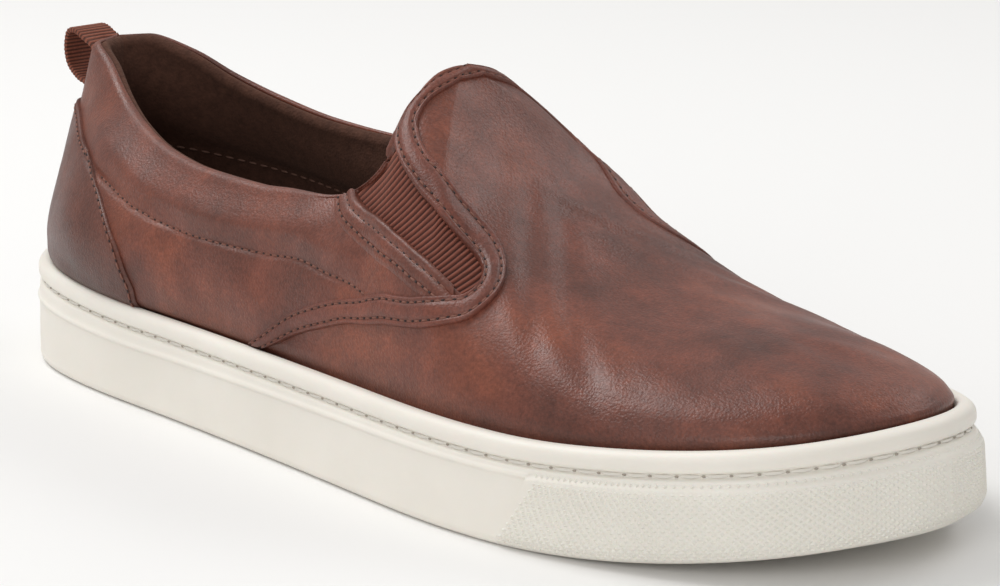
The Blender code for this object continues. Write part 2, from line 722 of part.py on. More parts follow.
def cut_away(obj, cutter):
    """Take one solid out of another and drop the cutter."""
    triangulate(obj.data)
    triangulate(cutter.data)
    modifier = obj.modifiers.new("cut", "BOOLEAN")
    modifier.operation = "DIFFERENCE"
    modifier.solver = "EXACT"
    modifier.object = cutter
    shaped = obj.evaluated_get(bpy.context.evaluated_depsgraph_get())
    mesh = bpy.data.meshes.new_from_object(shaped)
    obj.modifiers.clear()
    obj.data = mesh
    mesh.polygons.foreach_set("use_smooth", [True] * len(mesh.polygons))
    mesh.set_sharp_from_angle(angle=np.radians(50.0))
    bpy.data.objects.remove(cutter, do_unlink=True)


def gore_grid(side):
    """Points and normals of the upper under one insert."""
    rows = pick_rows(GORE_ROWS, 15)
    across = np.linspace(0.0, 1.0, 5)
    signed = side * (rows[:, 0:1] + (rows[:, 2:3] - rows[:, 0:1]) * across)
    up = rows[:, 1:2] + (rows[:, 3:4] - rows[:, 1:2]) * across
    return on_upper(signed, up)


def build_gores():
    """Elastic inserts, set a little below the leather round them."""
    for side, name in ((-1, "gore_outer"), (1, "gore_inner")):
        body = Body()
        point, normal = gore_grid(side)
        body.slab(point, normal, -GORE_RECESS - GORE_THICKNESS, -GORE_RECESS)
        body.finish(name, "elastic_webbing", (0.13, 0.045, 0.032), 0.8, 40.0)


def build_trim():
    """Strip on the edge of the vamp, one piece over the tab from sole to sole."""
    rows = pick_rows(TRIM_ROWS, 35)
    across = np.linspace(0.0, 1.0, 3)
    share = rows[:, 0:1] + (rows[:, 2:3] - rows[:, 0:1]) * across
    up = rows[:, 1:2] + (rows[:, 3:4] - rows[:, 1:2]) * across
    signed = np.vstack([-share, share[-2::-1]])
    up = np.vstack([up, up[-2::-1]])
    point, normal = on_upper(signed, up)
    body = Body()
    body.slab(point, normal, OVERLAY_GAP, OVERLAY_GAP + TRIM_THICKNESS, bevel=PANEL_BEVEL)
    body.finish("vamp_trim", "brown_leather_trim", (0.15, 0.058, 0.042), 0.45, 40.0)


def build_counter():
    """Panel wrapped round the heel."""
    reach = Table(COUNTER_ROWS)
    low, high = COUNTER_ROWS[0][0], COUNTER_ROWS[-1][0]
    up = np.r_[low, [level for level in UP_LEVELS if low < level < 0.65], 0.69, high]
    across = np.linspace(-1.0, 1.0, 25)
    signed = reach(0, up)[:, None] * across
    signed[:, len(across) // 2] = 1e-7
    point, normal = on_upper(signed, np.broadcast_to(up[:, None], signed.shape))
    body = Body()
    body.slab(point, normal, OVERLAY_GAP, OVERLAY_GAP + COUNTER_THICKNESS, bevel=PANEL_BEVEL)
    body.finish("heel_counter", "brown_leather_dark", (0.12, 0.05, 0.04), 0.42, 40.0)


def build_insole():
    """Insole on the floor of the cup, its top dished between the sides."""
    body = Body()
    share = stations(9, 5)
    n = len(share)
    signed = ring(share)
    inset = CUP_WALL + CUP_GAP + UPPER_WALL + PIECE_GAP + toe_lean(signed)
    rows = []
    full = INSOLE_THICKNESS + INSOLE_DISH
    bevel = INSOLE_BEVEL
    for extra, rise in ((bevel, 0.0), (0.0, bevel), (0.0, full - bevel), (bevel, full)):
        spot = EDGE(signed, inset + extra)
        rows.append(body.add(np.column_stack([spot, floor_top(spot[:, 0]) + PIECE_GAP + rise])))
    for a, b in zip(rows[:-1], rows[1:]):
        body.strip(a, b, closed=True)

    def top(x, s):
        return floor_top(x) + PIECE_GAP + INSOLE_THICKNESS + INSOLE_DISH * (2.0 * s - 1.0) ** 2

    body.cap(*halves(rows[0], n), lambda x, s: floor_top(x) + PIECE_GAP, 2)
    body.cap(*halves(rows[-1], n), top)
    body.finish("insole", "insole_textile", (0.045, 0.026, 0.020), 0.9, 40.0)


def heel_back(y, z):
    """Where the back of the heel lies at a distance from the middle and a height."""
    low, high = (upper_point(np.array([1e-7]), np.array([v]))[0, 2] for v in (0.0, 1.0))
    up = min((z - low) / (high - low), 1.0)
    share = np.linspace(0.0, 0.14, 80)
    side = -1.0 if y < 0.0 else 1.0
    walk = upper_point(side * np.maximum(share, 1e-7), np.full(80, up))
    run = np.maximum.accumulate(side * walk[:, 1])
    return float(np.interp(abs(y), run, walk[:, 0]))


def build_loop():
    """Webbing loop behind the heel, both ends against the leather."""
    rows = pick_rows(np.array(LOOP_ROWS) * (HEEL_HEIGHT, 1.0), 22)
    ahead = np.gradient(rows, axis=0)
    ahead /= np.linalg.norm(ahead, axis=1, keepdims=True)
    ys = np.linspace(-0.5, 0.5, 5) * LOOP_WIDTH + LOOP_MIDDLE
    free = ease(0.0012, 0.0060, rows[:, 1])
    layers = []
    body = Body()
    for lift in (-0.5, 0.5):
        grid = []
        for (height, away), (dz, da), loose in zip(rows, ahead, free):
            z = height - da * lift * LOOP_THICKNESS
            gap = away + dz * lift * LOOP_THICKNESS
            flat = heel_back(LOOP_MIDDLE, z)
            grid.append([(flat + (heel_back(y, z) - flat) * (1.0 - loose) - gap, y, z) for y in ys])
        layers.append([body.add(np.array(row)) for row in grid])
    body.sandwich(*layers)
    body.finish("heel_loop", "loop_webbing", (0.16, 0.055, 0.036), 0.85, 40.0)


def remove_start_objects():
    for obj in list(bpy.data.objects):
        bpy.data.objects.remove(obj, do_unlink=True)


def centre_all():
    """Put the middle of the whole shoe over the origin, with the ground at z = 0."""
    spots = np.array([v.co for obj in bpy.data.objects for v in obj.data.vertices])
    middle = (spots.min(axis=0) + spots.max(axis=0)) / 2.0
    for obj in bpy.data.objects:
        for vertex in obj.data.vertices:
            vertex.co.x -= middle[0]
            vertex.co.y -= middle[1]
            vertex.co.z -= spots[:, 2].min()


def main():
    remove_start_objects()
    build_cupsole()
    build_upper()
    build_gores()
    build_trim()
    build_counter()
    build_insole()
    build_loop()
    centre_all()


main()
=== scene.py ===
"""Slip-on sneaker, right shoe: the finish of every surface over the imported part.

The law of the last is the one that the solids were made from, in metres from the heel's end on the
middle line; place() carries a point from there to the part's own frame.
"""
import math

import bmesh
import bpy
import numpy as np
from mathutils import Matrix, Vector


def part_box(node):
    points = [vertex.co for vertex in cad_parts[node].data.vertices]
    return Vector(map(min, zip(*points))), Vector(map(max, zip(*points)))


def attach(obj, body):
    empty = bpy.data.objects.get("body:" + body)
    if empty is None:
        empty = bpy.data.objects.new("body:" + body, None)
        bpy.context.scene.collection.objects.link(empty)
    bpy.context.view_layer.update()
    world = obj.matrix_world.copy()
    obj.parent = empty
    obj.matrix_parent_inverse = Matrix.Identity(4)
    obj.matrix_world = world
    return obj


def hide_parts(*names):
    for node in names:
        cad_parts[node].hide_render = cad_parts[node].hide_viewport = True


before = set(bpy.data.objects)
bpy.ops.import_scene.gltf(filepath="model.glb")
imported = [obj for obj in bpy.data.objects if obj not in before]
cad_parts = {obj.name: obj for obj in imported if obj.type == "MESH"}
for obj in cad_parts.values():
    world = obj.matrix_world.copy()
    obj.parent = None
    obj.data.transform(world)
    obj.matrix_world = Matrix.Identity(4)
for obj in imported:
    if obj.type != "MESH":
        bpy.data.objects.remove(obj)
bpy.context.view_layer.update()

# rounding of the top of the tab: how steep its two sides meet and how wide the round is
TAB_SLOPE = 0.25
TAB_RADIUS = 0.006

# overall sizes of the shoe
SOLE_LENGTH = 0.298
BALL_WIDTH = 0.108
HEEL_HEIGHT = 0.080

# cup sole
WALL_HEIGHT = 0.0252
HEEL_WALL_EXTRA = 0.0024
TOE_WALL_LESS = 0.0014
TOE_SPRING = 0.0096
SPRING_START = 0.72
CUP_WALL = 0.0043
TOE_LEAN = 0.0024
WALL_TAPER = 0.0008
LINE_CLIMB = 0.0030
HEEL_FLOOR = 0.0140
FOREFOOT_FLOOR = 0.0095
ARCH_HOLLOW = 0.0012
GROOVE_DEPTH = 0.0010
RIB_PROUD = 0.0005
LIP_PROUD = 0.0004
BUMPER_PROUD = 0.0009
BUMPER_START_LOW = 0.722
BUMPER_START_HIGH = 0.767
BUMPER_SLANT_TOP = 0.65

# upper and what is sewn to it
PIECE_GAP = 0.0003
UPPER_START = 0.0010
CUP_GAP = 0.0004
UPPER_WALL = 0.0020
COLLAR_PAD = 0.0032
INSOLE_THICKNESS = 0.0045
INSOLE_DISH = 0.0018
LOOP_WIDTH = 0.0110
LOOP_MIDDLE = 0.0005
LOOP_THICKNESS = 0.0014


# edge of the sole seen from below, walked from the heel along the outer side to the toe and back
# along, share of sole length; across, share of ball width, plus towards the inner side
SOLE_EDGE = (
    (0.000, 0.004), (0.015, -0.157), (0.060, -0.293), (0.140, -0.370), (0.280, -0.406),
    (0.420, -0.438), (0.560, -0.478), (0.680, -0.503), (0.800, -0.460), (0.900, -0.350),
    (0.965, -0.207), (1.000, 0.050), (0.975, 0.243), (0.920, 0.372), (0.820, 0.482),
    (0.720, 0.494), (0.600, 0.452), (0.460, 0.374), (0.300, 0.340), (0.150, 0.350),
    (0.060, 0.304), (0.015, 0.171),
)
TOE_ROW = 11

# side of the cup from the ground up to the lip and over it
# level: share of the wall height; rise: metres added; out: metres past the edge
# lean, rib, bumper, groove, lip, climb: share of that feature in the row
SIDE_ROWS = (
    # level, rise, out, lean, rib, bumper, groove, lip, climb
    (0.0, 0.0000, -0.0018, 0.0, 0.0, 0.0, 0.0, 0.0, 0.0),
    (0.0, 0.0006, -0.0005, 0.0, 0.0, 0.0, 0.0, 0.0, 0.0),
    (0.0, 0.0020, 0.0000, 0.0, 0.0, 0.0, 0.0, 0.0, 0.0),
    (0.0, 0.0030, 0.0000, 0.1, 0.0, 1.0, 0.0, 0.0, 0.0),
    (0.4, 0.0000, 0.0000, 0.3, 0.0, 1.0, 0.0, 0.0, 0.0),
    (1.0, -0.0114, 0.0000, 0.5, 0.0, 1.0, 0.0, 0.0, 1.0),
    (1.0, -0.0109, 0.0000, 0.5, 1.0, 0.8, 0.0, 0.0, 1.0),
    (1.0, -0.0102, 0.0000, 0.6, 1.0, 0.0, 0.0, 0.0, 1.0),
    (1.0, -0.0097, 0.0000, 0.6, 0.0, 0.0, 0.0, 0.0, 1.0),
    (1.0, -0.0060, 0.0000, 0.8, 0.0, 0.0, 0.0, 0.0, 0.0),
    (1.0, -0.0056, 0.0000, 0.8, 0.0, 0.0, 1.0, 0.0, 0.0),
    (1.0, -0.0048, 0.0000, 0.8, 0.0, 0.0, 1.0, 0.0, 0.0),
    (1.0, -0.0043, 0.0000, 0.9, 0.0, 0.0, 0.0, 0.5, 0.0),
    (1.0, -0.0030, 0.0000, 0.9, 0.0, 0.0, 0.0, 1.0, 0.0),
    (1.0, -0.0012, 0.0000, 1.0, 0.0, 0.0, 0.0, 0.6, 0.0),
    (1.0, -0.0002, -0.0010, 1.0, 0.0, 0.0, 0.0, 0.0, 0.0),
    (1.0, 0.0000, -0.0022, 1.0, 0.0, 0.0, 0.0, 0.0, 0.0),
    (1.0, -0.0003, -0.0036, 1.0, 0.0, 0.0, 0.0, 0.0, 0.0),
    (1.0, -0.0012, -0.0043, 1.0, 0.0, 0.0, 0.0, 0.0, 0.0),
)

# top line of the upper: the collar from the heel to the tab, then the ridge of the vamp
# round: share of the way round the sole edge; along: share of sole length
# outer, inner: share of ball width from the middle; height: share of heel height
# drop: how much lower the inner side is, in the same share
TOP_ROWS = (
    # round, along, outer, inner, height, drop
    (0.000, 0.032, 0.010, 0.010, 1.000, 0.000),
    (0.040, 0.047, -0.080, 0.101, 1.000, 0.000),
    (0.080, 0.084, -0.123, 0.158, 0.962, 0.000),
    (0.130, 0.127, -0.171, 0.203, 0.893, 0.000),
    (0.190, 0.177, -0.222, 0.238, 0.836, 0.000),
    (0.260, 0.239, -0.270, 0.267, 0.787, 0.000),
    (0.330, 0.307, -0.300, 0.287, 0.763, 0.000),
    (0.400, 0.379, -0.308, 0.290, 0.758, 0.000),
    (0.455, 0.441, -0.301, 0.282, 0.780, 0.000),
    (0.485, 0.473, -0.288, 0.269, 0.795, 0.000),
    (0.526, 0.508, -0.248, 0.237, 0.893, 0.020),
    (0.548, 0.515, -0.214, 0.204, 0.995, 0.036),
    (0.565, 0.509, -0.147, 0.149, 1.087, 0.034),
    (0.585, 0.505, -0.062, 0.070, 1.148, 0.014),
    (0.605, 0.505, 0.000, 0.000, 1.167, 0.000),
    (0.650, 0.550, 0.003, 0.003, 0.974, 0.000),
    (0.700, 0.602, 0.008, 0.008, 0.811, 0.000),
    (0.750, 0.656, 0.014, 0.014, 0.692, 0.000),
    (0.800, 0.705, 0.022, 0.022, 0.620, 0.000),
    (0.850, 0.755, 0.028, 0.028, 0.580, 0.000),
    (0.900, 0.800, 0.034, 0.034, 0.560, 0.000),
    (0.950, 0.840, 0.038, 0.038, 0.545, 0.000),
    (1.000, 0.870, 0.040, 0.040, 0.530, 0.000),
)
TAB_ROUND = 0.605

# how a rib runs from the lip to the top line
# closed: 0 for the open quarters, 1 for the vamp; bulge: metres that the rib swells outwards
# outer, inner: how hollow the vamp is on that side, 1 for an ellipse
RIB_ROWS = (
    # round, closed, bulge, outer, inner
    (0.000, 0.00, 0.0012, 1.00, 1.20),
    (0.080, 0.00, 0.0030, 1.00, 1.20),
    (0.200, 0.00, 0.0076, 1.00, 1.20),
    (0.330, 0.00, 0.0044, 1.00, 1.25),
    (0.430, 0.12, 0.0020, 1.00, 1.30),
    (0.500, 0.45, 0.0008, 1.00, 1.36),
    (0.560, 0.90, 0.0000, 1.00, 1.42),
    (0.605, 1.00, 0.0000, 1.00, 1.38),
    (0.700, 1.00, 0.0000, 1.00, 1.26),
    (0.800, 1.00, 0.0000, 0.98, 1.18),
    (0.900, 1.00, 0.0000, 0.92, 0.96),
    (1.000, 1.00, 0.0000, 0.90, 0.90),
)

# elastic insert, from the collar down to its tip; round and up as for the upper
GORE_ROWS = (
    # rear_round, rear_up, front_round, front_up
    (0.499, 1.000, 0.552, 1.000),
    (0.508, 0.880, 0.556, 0.865),
    (0.522, 0.745, 0.563, 0.755),
    (0.544, 0.581, 0.575, 0.652),
    (0.564, 0.461, 0.587, 0.592),
    (0.581, 0.404, 0.600, 0.557),
    (0.597, 0.371, 0.614, 0.546),
    (0.613, 0.358, 0.627, 0.552),
    (0.628, 0.363, 0.638, 0.562),
    (0.640, 0.374, 0.648, 0.563),
    (0.649, 0.390, 0.656, 0.545),
    (0.656, 0.420, 0.660, 0.515),
)

# raised strip on the edge of the vamp, from the sole round the insert and up to the top of the tab
TRIM_ROWS = (
    # edge_round, edge_up, vamp_round, vamp_up
    (0.407, 0.045, 0.427, 0.045),
    (0.422, 0.118, 0.442, 0.095),
    (0.445, 0.238, 0.462, 0.165),
    (0.465, 0.308, 0.487, 0.216),
    (0.497, 0.352, 0.517, 0.232),
    (0.538, 0.305, 0.552, 0.193),
    (0.579, 0.256, 0.586, 0.178),
    (0.611, 0.273, 0.615, 0.201),
    (0.635, 0.345, 0.643, 0.288),
    (0.646, 0.400, 0.659, 0.373),
    (0.653, 0.455, 0.670, 0.464),
    (0.655, 0.500, 0.675, 0.546),
    (0.653, 0.533, 0.674, 0.612),
    (0.646, 0.548, 0.668, 0.659),
    (0.636, 0.544, 0.657, 0.682),
    (0.622, 0.528, 0.643, 0.682),
    (0.605, 0.521, 0.628, 0.661),
    (0.587, 0.562, 0.611, 0.646),
    (0.572, 0.642, 0.594, 0.672),
    (0.561, 0.740, 0.583, 0.724),
    (0.553, 0.857, 0.577, 0.779),
    (0.550, 0.960, 0.573, 0.835),
    (0.555, 0.985, 0.574, 0.875),
    (0.562, 0.985, 0.578, 0.900),
    (0.572, 0.985, 0.586, 0.915),
    (0.583, 0.986, 0.597, 0.932),
    (0.595, 0.988, 0.612, 0.958),
    (0.608, 1.000, 0.621, 1.000),
)

# panel round the heel: how far it reaches round each side at each height
COUNTER_ROWS = (
    # up, reach
    (0.045, 0.271),
    (0.140, 0.270),
    (0.250, 0.264),
    (0.370, 0.256),
    (0.490, 0.239),
    (0.610, 0.212),
    (0.680, 0.184),
    (0.735, 0.150),
)

# middle of the webbing of the pull loop, from its lower to its upper end
# height: share of heel height; away: metres behind the heel
LOOP_ROWS = (
    # height, away
    (0.829, 0.0011),
    (0.843, 0.0012),
    (0.858, 0.0026),
    (0.877, 0.0066),
    (0.912, 0.0105),
    (0.963, 0.0123),
    (1.008, 0.0121),
    (1.030, 0.0105),
    (1.029, 0.0077),
    (1.012, 0.0049),
    (0.988, 0.0023),
    (0.965, 0.0012),
    (0.932, 0.0010),
)


def slopes(x, y):
    """Slopes of a curve through the points that never overshoots them."""
    step = np.diff(x)
    rise = np.diff(y) / step
    out = np.zeros_like(y)
    out[0], out[-1] = rise[0], rise[-1]
    same = rise[:-1] * rise[1:] > 0.0
    wa = 2.0 * step[1:] + step[:-1]
    wb = step[1:] + 2.0 * step[:-1]
    safe_a = np.where(same, rise[:-1], 1.0)
    safe_b = np.where(same, rise[1:], 1.0)
    out[1:-1] = np.where(same, (wa + wb) / (wa / safe_a + wb / safe_b), 0.0)
    return out


class Table:
    """Smooth columns read by the share in the first column."""

    def __init__(self, rows):
        data = np.array(rows, dtype=float)
        self.x = data[:, 0]
        self.y = [data[:, k].copy() for k in range(1, data.shape[1])]
        self.m = [slopes(self.x, y) for y in self.y]

    def __call__(self, column, at):
        at = np.clip(np.asarray(at, dtype=float), self.x[0], self.x[-1])
        i = np.clip(np.searchsorted(self.x, at, side="right") - 1, 0, len(self.x) - 2)
        h = self.x[i + 1] - self.x[i]
        t = (at - self.x[i]) / h
        y, m = self.y[column], self.m[column]
        return ((1 + 2 * t) * (1 - t) ** 2 * y[i] + t * (1 - t) ** 2 * h * m[i]
                + t * t * (3 - 2 * t) * y[i + 1] + t * t * (t - 1) * h * m[i + 1])


def ease(low, high, value):
    """0 below low, 1 above high, smooth between."""
    t = np.clip((np.asarray(value, dtype=float) - low) / (high - low), 0.0, 1.0)
    return t * t * (3.0 - 2.0 * t)


def closed_curve(points, per_span):
    """Cubic through a closed ring of points, with the same number of steps in every span."""
    n = len(points)
    ring = np.vstack([points, points[:1]])
    span = np.hypot(*np.diff(ring, axis=0).T)
    system = np.zeros((n, n))
    right = np.zeros((n, 2))
    for k in range(n):
        a, b = span[k - 1], span[k]
        system[k, (k - 1) % n] += a
        system[k, k] += 2.0 * (a + b)
        system[k, (k + 1) % n] += b
        right[k] = 6.0 * ((ring[k + 1] - ring[k]) / b - (ring[k] - ring[k - 1 if k else n - 1]) / a)
    bend = np.linalg.solve(system, right)
    out = []
    for k in range(n):
        h, m0, m1 = span[k], bend[k], bend[(k + 1) % n]
        for s in np.arange(per_span) / per_span:
            u, w = 1.0 - s, s
            out.append(u * ring[k] + w * ring[k + 1]
                       + ((u ** 3 - u) * m0 + (w ** 3 - w) * m1) * h * h / 6.0)
    return np.array(out)


class Edge:
    """Edge of the sole, read by side and by the share of the way from heel to toe."""

    def __init__(self):
        per_span = 60
        points = np.array(SOLE_EDGE) * (SOLE_LENGTH, BALL_WIDTH)
        ring = closed_curve(points, per_span)
        toe = TOE_ROW * per_span
        ahead = np.roll(ring, -1, axis=0) - np.roll(ring, 1, axis=0)
        ahead /= np.hypot(*ahead.T)[:, None]
        normal = np.stack([ahead[:, 1], -ahead[:, 0]], axis=1)
        outer = np.arange(0, toe + 1)
        inner = np.r_[0, np.arange(len(ring) - 1, toe - 1, -1)]
        self.sides = {}
        for side, order in ((-1, outer), (1, inner)):
            walk = ring[order]
            run = np.r_[0.0, np.cumsum(np.hypot(*np.diff(walk, axis=0).T))]
            self.sides[side] = (run / run[-1], walk, normal[order])
            self.length = run[-1]

    def __call__(self, signed, inset=0.0):
        """Point (x, y) at a signed share (minus on the outer side), moved in by inset."""
        signed = np.asarray(signed, dtype=float)
        inset = np.broadcast_to(inset, signed.shape)
        out = np.zeros(signed.shape + (2,))
        for side in (-1, 1):
            pick = signed < 0 if side < 0 else signed >= 0
            share, walk, normal = self.sides[side]
            at = np.abs(signed[pick])
            for axis in (0, 1):
                out[pick, axis] = (np.interp(at, share, walk[:, axis])
                                   - inset[pick] * np.interp(at, share, normal[:, axis]))
        return out

    def normal(self, signed):
        return (self(signed, -0.001) - self(signed)) / 0.001

    def share_at(self, side, along):
        """Share on one side where the edge passes a length from the heel."""
        share, walk, _ = self.sides[side]
        return float(np.interp(along, walk[:, 0], share))


EDGE = Edge()
TOP = Table(TOP_ROWS)
RIB = Table(RIB_ROWS)


def ground(x):
    """Underside of the sole edge: flat, then rising under the toe."""
    lift = np.clip((x / SOLE_LENGTH - SPRING_START) / (1.0 - SPRING_START), 0.0, 1.2)
    return TOE_SPRING * lift ** 2


def wall_height(x):
    """Height of the side wall, more at the heel and less at the toe."""
    share = x / SOLE_LENGTH
    extra = HEEL_WALL_EXTRA * (1.0 - ease(0.0, 0.26, share))
    return WALL_HEIGHT + extra - TOE_WALL_LESS * ease(0.80, 1.0, share)


def line_climb(x):
    """How far the moulded line has come up towards the groove, from heel to bumper."""
    return ease(-0.20, 0.80, x / SOLE_LENGTH)


def toe_lean(signed):
    """How far the side of the sole leans in at its lip."""
    return WALL_TAPER + (TOE_LEAN - WALL_TAPER) * ease(0.72, 0.97, np.abs(signed))


def floor_top(x):
    """Upper face of the floor of the cup."""
    thick = HEEL_FLOOR + (FOREFOOT_FLOOR - HEEL_FLOOR) * ease(0.25, 0.68, x / SOLE_LENGTH)
    return ground(x) + thick


def ridge_slope(share):
    """Fall of the ridge of the vamp per metre towards the toe."""
    at = np.clip(share, TAB_ROUND + 0.02, 0.98)
    drop = (TOP(3, at + 0.02) - TOP(3, at - 0.02)) * HEEL_HEIGHT
    return drop / ((TOP(0, at + 0.02) - TOP(0, at - 0.02)) * SOLE_LENGTH)


def upper_point(signed, up):
    """Outer face of the upper. up: -1 at the floor, 0 at the lip, 1 at the top line."""
    signed = np.asarray(signed, dtype=float)
    up = np.asarray(up, dtype=float)
    signed, up = np.broadcast_arrays(signed, up)
    share = np.abs(signed)
    low = EDGE(signed, CUP_WALL + CUP_GAP + toe_lean(signed))
    x = EDGE(signed)[..., 0]
    z_lip = ground(x) + wall_height(x) - UPPER_START
    z_floor = floor_top(low[..., 0]) + PIECE_GAP
    top_x = TOP(0, share) * SOLE_LENGTH
    # both sides read the outer columns along the ridge, so that they meet there
    outer = (signed < 0) | (share > TAB_ROUND)
    top_y = np.where(outer, TOP(1, share), TOP(2, share)) * BALL_WIDTH
    top_z = (TOP(3, share) - np.where(outer, 0.0, TOP(4, share))) * HEEL_HEIGHT
    closed, bulge = RIB(0, share), RIB(1, share)
    full = np.where(signed < 0, RIB(2, share), RIB(3, share))
    t = np.clip(up, 0.0, 1.0)
    turn = t * np.pi / 2.0
    over = (1.0 - closed) * t ** 1.3 + closed * (1.0 - np.cos(turn))
    rise = (1.0 - closed) * t + closed * np.sin(turn) ** full
    swell = bulge * np.sin(np.pi * t ** 0.8)
    normal = EDGE.normal(signed)
    point = np.stack([
        low[..., 0] + (top_x - low[..., 0]) * over + normal[..., 0] * swell,
        low[..., 1] + (top_y - low[..., 1]) * over + normal[..., 1] * swell,
        z_lip + (top_z - z_lip) * rise], axis=-1)
    point[..., 2] += closed ** 2 * ridge_slope(share) * (low[..., 0] - top_x) * (1.0 - over) * t ** 2
    drop = np.clip(-up, 0.0, 1.0)
    point[..., 2] -= (z_lip - z_floor) * drop
    point[..., 2] -= tab_rounding(point)
    return point


def tab_rounding(point):
    """How far the top of the tab is worn down, so that its two sides meet in a round."""
    along = point[..., 0] / SOLE_LENGTH
    near = ease(0.45, 0.49, along) * (1.0 - ease(0.506, 0.530, along)) * ease(0.074, 0.086, point[..., 2])
    across = np.abs(point[..., 1])
    return TAB_SLOPE * near * (np.hypot(across, TAB_RADIUS) - across)


def upper_normal(signed, up):
    """Outward normal of the outer face."""
    signed, up = np.broadcast_arrays(np.asarray(signed, float), np.asarray(up, float))
    step = 0.004
    side = np.where(signed < 0, -1.0, 1.0)
    share = np.abs(signed)
    lo, hi = np.clip(share - step, 0.0, 1.0), np.clip(share + step, 0.0, 1.0)
    around = upper_point(side * np.maximum(hi, 1e-9), up) - upper_point(side * np.maximum(lo, 1e-9), up)
    climb = upper_point(signed, up + step) - upper_point(signed, up - step)
    on_top = up > 1.0 - 2.0 * step
    climb = np.where(on_top[..., None],
                     upper_point(signed, up) - upper_point(signed, up - 2.0 * step), climb)
    normal = np.cross(around, climb) * -side[..., None]
    return normal / np.linalg.norm(normal, axis=-1, keepdims=True)


def pick_rows(rows, count):
    """Rows of a table resampled evenly along their middle, on a smooth curve through them."""
    data = np.array(rows, dtype=float)
    ends = np.vstack([2.0 * data[:1] - data[1:2], data, 2.0 * data[-1:] - data[-2:-1]])
    smooth = []
    for k in range(len(data) - 1):
        a, b, c, d = ends[k:k + 4]
        for t in np.arange(8) / 8.0:
            bend = 2 * a - 5 * b + 4 * c - d + t * (3 * (b - c) + d - a)
            smooth.append(b + 0.5 * t * (c - a + t * bend))
    smooth = np.vstack(smooth + [data[-1]])
    half = 0.5 * (smooth[:, :2] + smooth[:, 2:]) if data.shape[1] == 4 else smooth
    point = upper_point(-half[:, 0], half[:, 1]) if data.shape[1] == 4 else half
    run = np.r_[0.0, np.cumsum(np.linalg.norm(np.diff(point, axis=0), axis=1))]
    at = np.linspace(0.0, run[-1], count)
    return np.stack([np.interp(at, run, smooth[:, k]) for k in range(data.shape[1])], axis=1)


# where the law's heel end and middle line lie in the part's frame
HEEL_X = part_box("cupsole")[0].x + 0.0001
SIDES_Y = EDGE(np.r_[-np.linspace(0.3, 0.8, 400), np.linspace(0.3, 0.8, 400)])[:, 1]
MIDDLE_Y = 0.5 * (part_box("cupsole")[0].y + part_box("cupsole")[1].y)
MIDDLE_Y -= 0.5 * (SIDES_Y.min() + SIDES_Y.max())

# camera fitted to the photo's sole edge
CAMERA_AZIMUTH = 47.09
CAMERA_ELEVATION = 14.16
CAMERA_ROLL = -0.3265
CAMERA_DISTANCE = 0.8106
CAMERA_LENS = 126.0
CAMERA_TARGET = (0.1824, -0.0180, 0.045)

# leather: its thickness, and how far over the rim its seam with the lining lies
SKIN = 0.0012
RIM_SEAM = 0.46
# flat millimetres of the whole way round, and from the lip to the top line
FLAT_ROUND = 335.0
FLAT_UP = 62.0

# stitches of the leather and of the sole
STITCH_PITCH = 0.0027
STITCH_LENGTH = 0.0019
STITCH_WIDTH = 0.0006
SOLE_STITCH_PITCH = 0.0060

# ribs of the elastic: pitch in the colour, number, and their angles in the photo's view in degrees
RIB_PITCH = 0.00125
RIB_COUNT = 28
RIB_TURN_TOP = 48.0
RIB_TURN_TIP = 36.0
LOOP_RIB_PITCH = 0.0011

# pyramids of the toe bumper
PYRAMID_PITCH = 0.0020
PYRAMID_ROW = 0.00080
PYRAMID_HEIGHT = 0.00045

# stitched line under the padded collar band, on both quarters
PAD_LINE = (
    # round, up
    (0.120, 0.720),
    (0.216, 0.690),
    (0.259, 0.660),
    (0.335, 0.630),
    (0.405, 0.620),
    (0.449, 0.600),
    (0.493, 0.491),
    (0.537, 0.314),
)


def place(points):
    """From the law's own metres to the part's frame."""
    return np.asarray(points) + (HEEL_X, MIDDLE_Y, 0.0)


def full_normal(signed, up):
    """Outward normal that is also right inside the cup, on the ridge and at the tip of the toe."""
    signed, up = np.broadcast_arrays(np.asarray(signed, float), np.asarray(up, float))
    share = np.abs(signed)
    level = np.where((share > 0.97) & (up > 0.95), 0.95, np.maximum(up, -0.9))
    level = np.minimum(level, 1.0)
    normal = upper_normal(signed, level)
    flat = EDGE.normal(signed)
    blend = ease(-0.02, 0.06, up)[..., None]
    level_out = np.concatenate([flat, np.zeros(flat.shape[:-1] + (1,))], axis=-1)
    normal = normal * blend + level_out * (1 - blend)
    seam = ((up > 0.999) & (share >= TAB_ROUND - 1e-6)) | (share < 1e-6) | (share > 0.9999)
    if seam.any():
        other = upper_normal(-signed, level)
        normal = np.where(seam[..., None] & (up > 0.05)[..., None], normal + other, normal)
    return normal / np.linalg.norm(normal, axis=-1, keepdims=True)


def wall_at(share, up):
    """Thickness of leather, foam and lining: the collar of the quarters is padded."""
    pad = ease(0.30, 0.75, up) * (1.0 - ease(0.42, 0.475, share))
    return UPPER_WALL + COLLAR_PAD * pad


def deselect():
    """Nothing selected, before an operator runs."""
    for obj in bpy.context.selected_objects:
        obj.select_set(False)


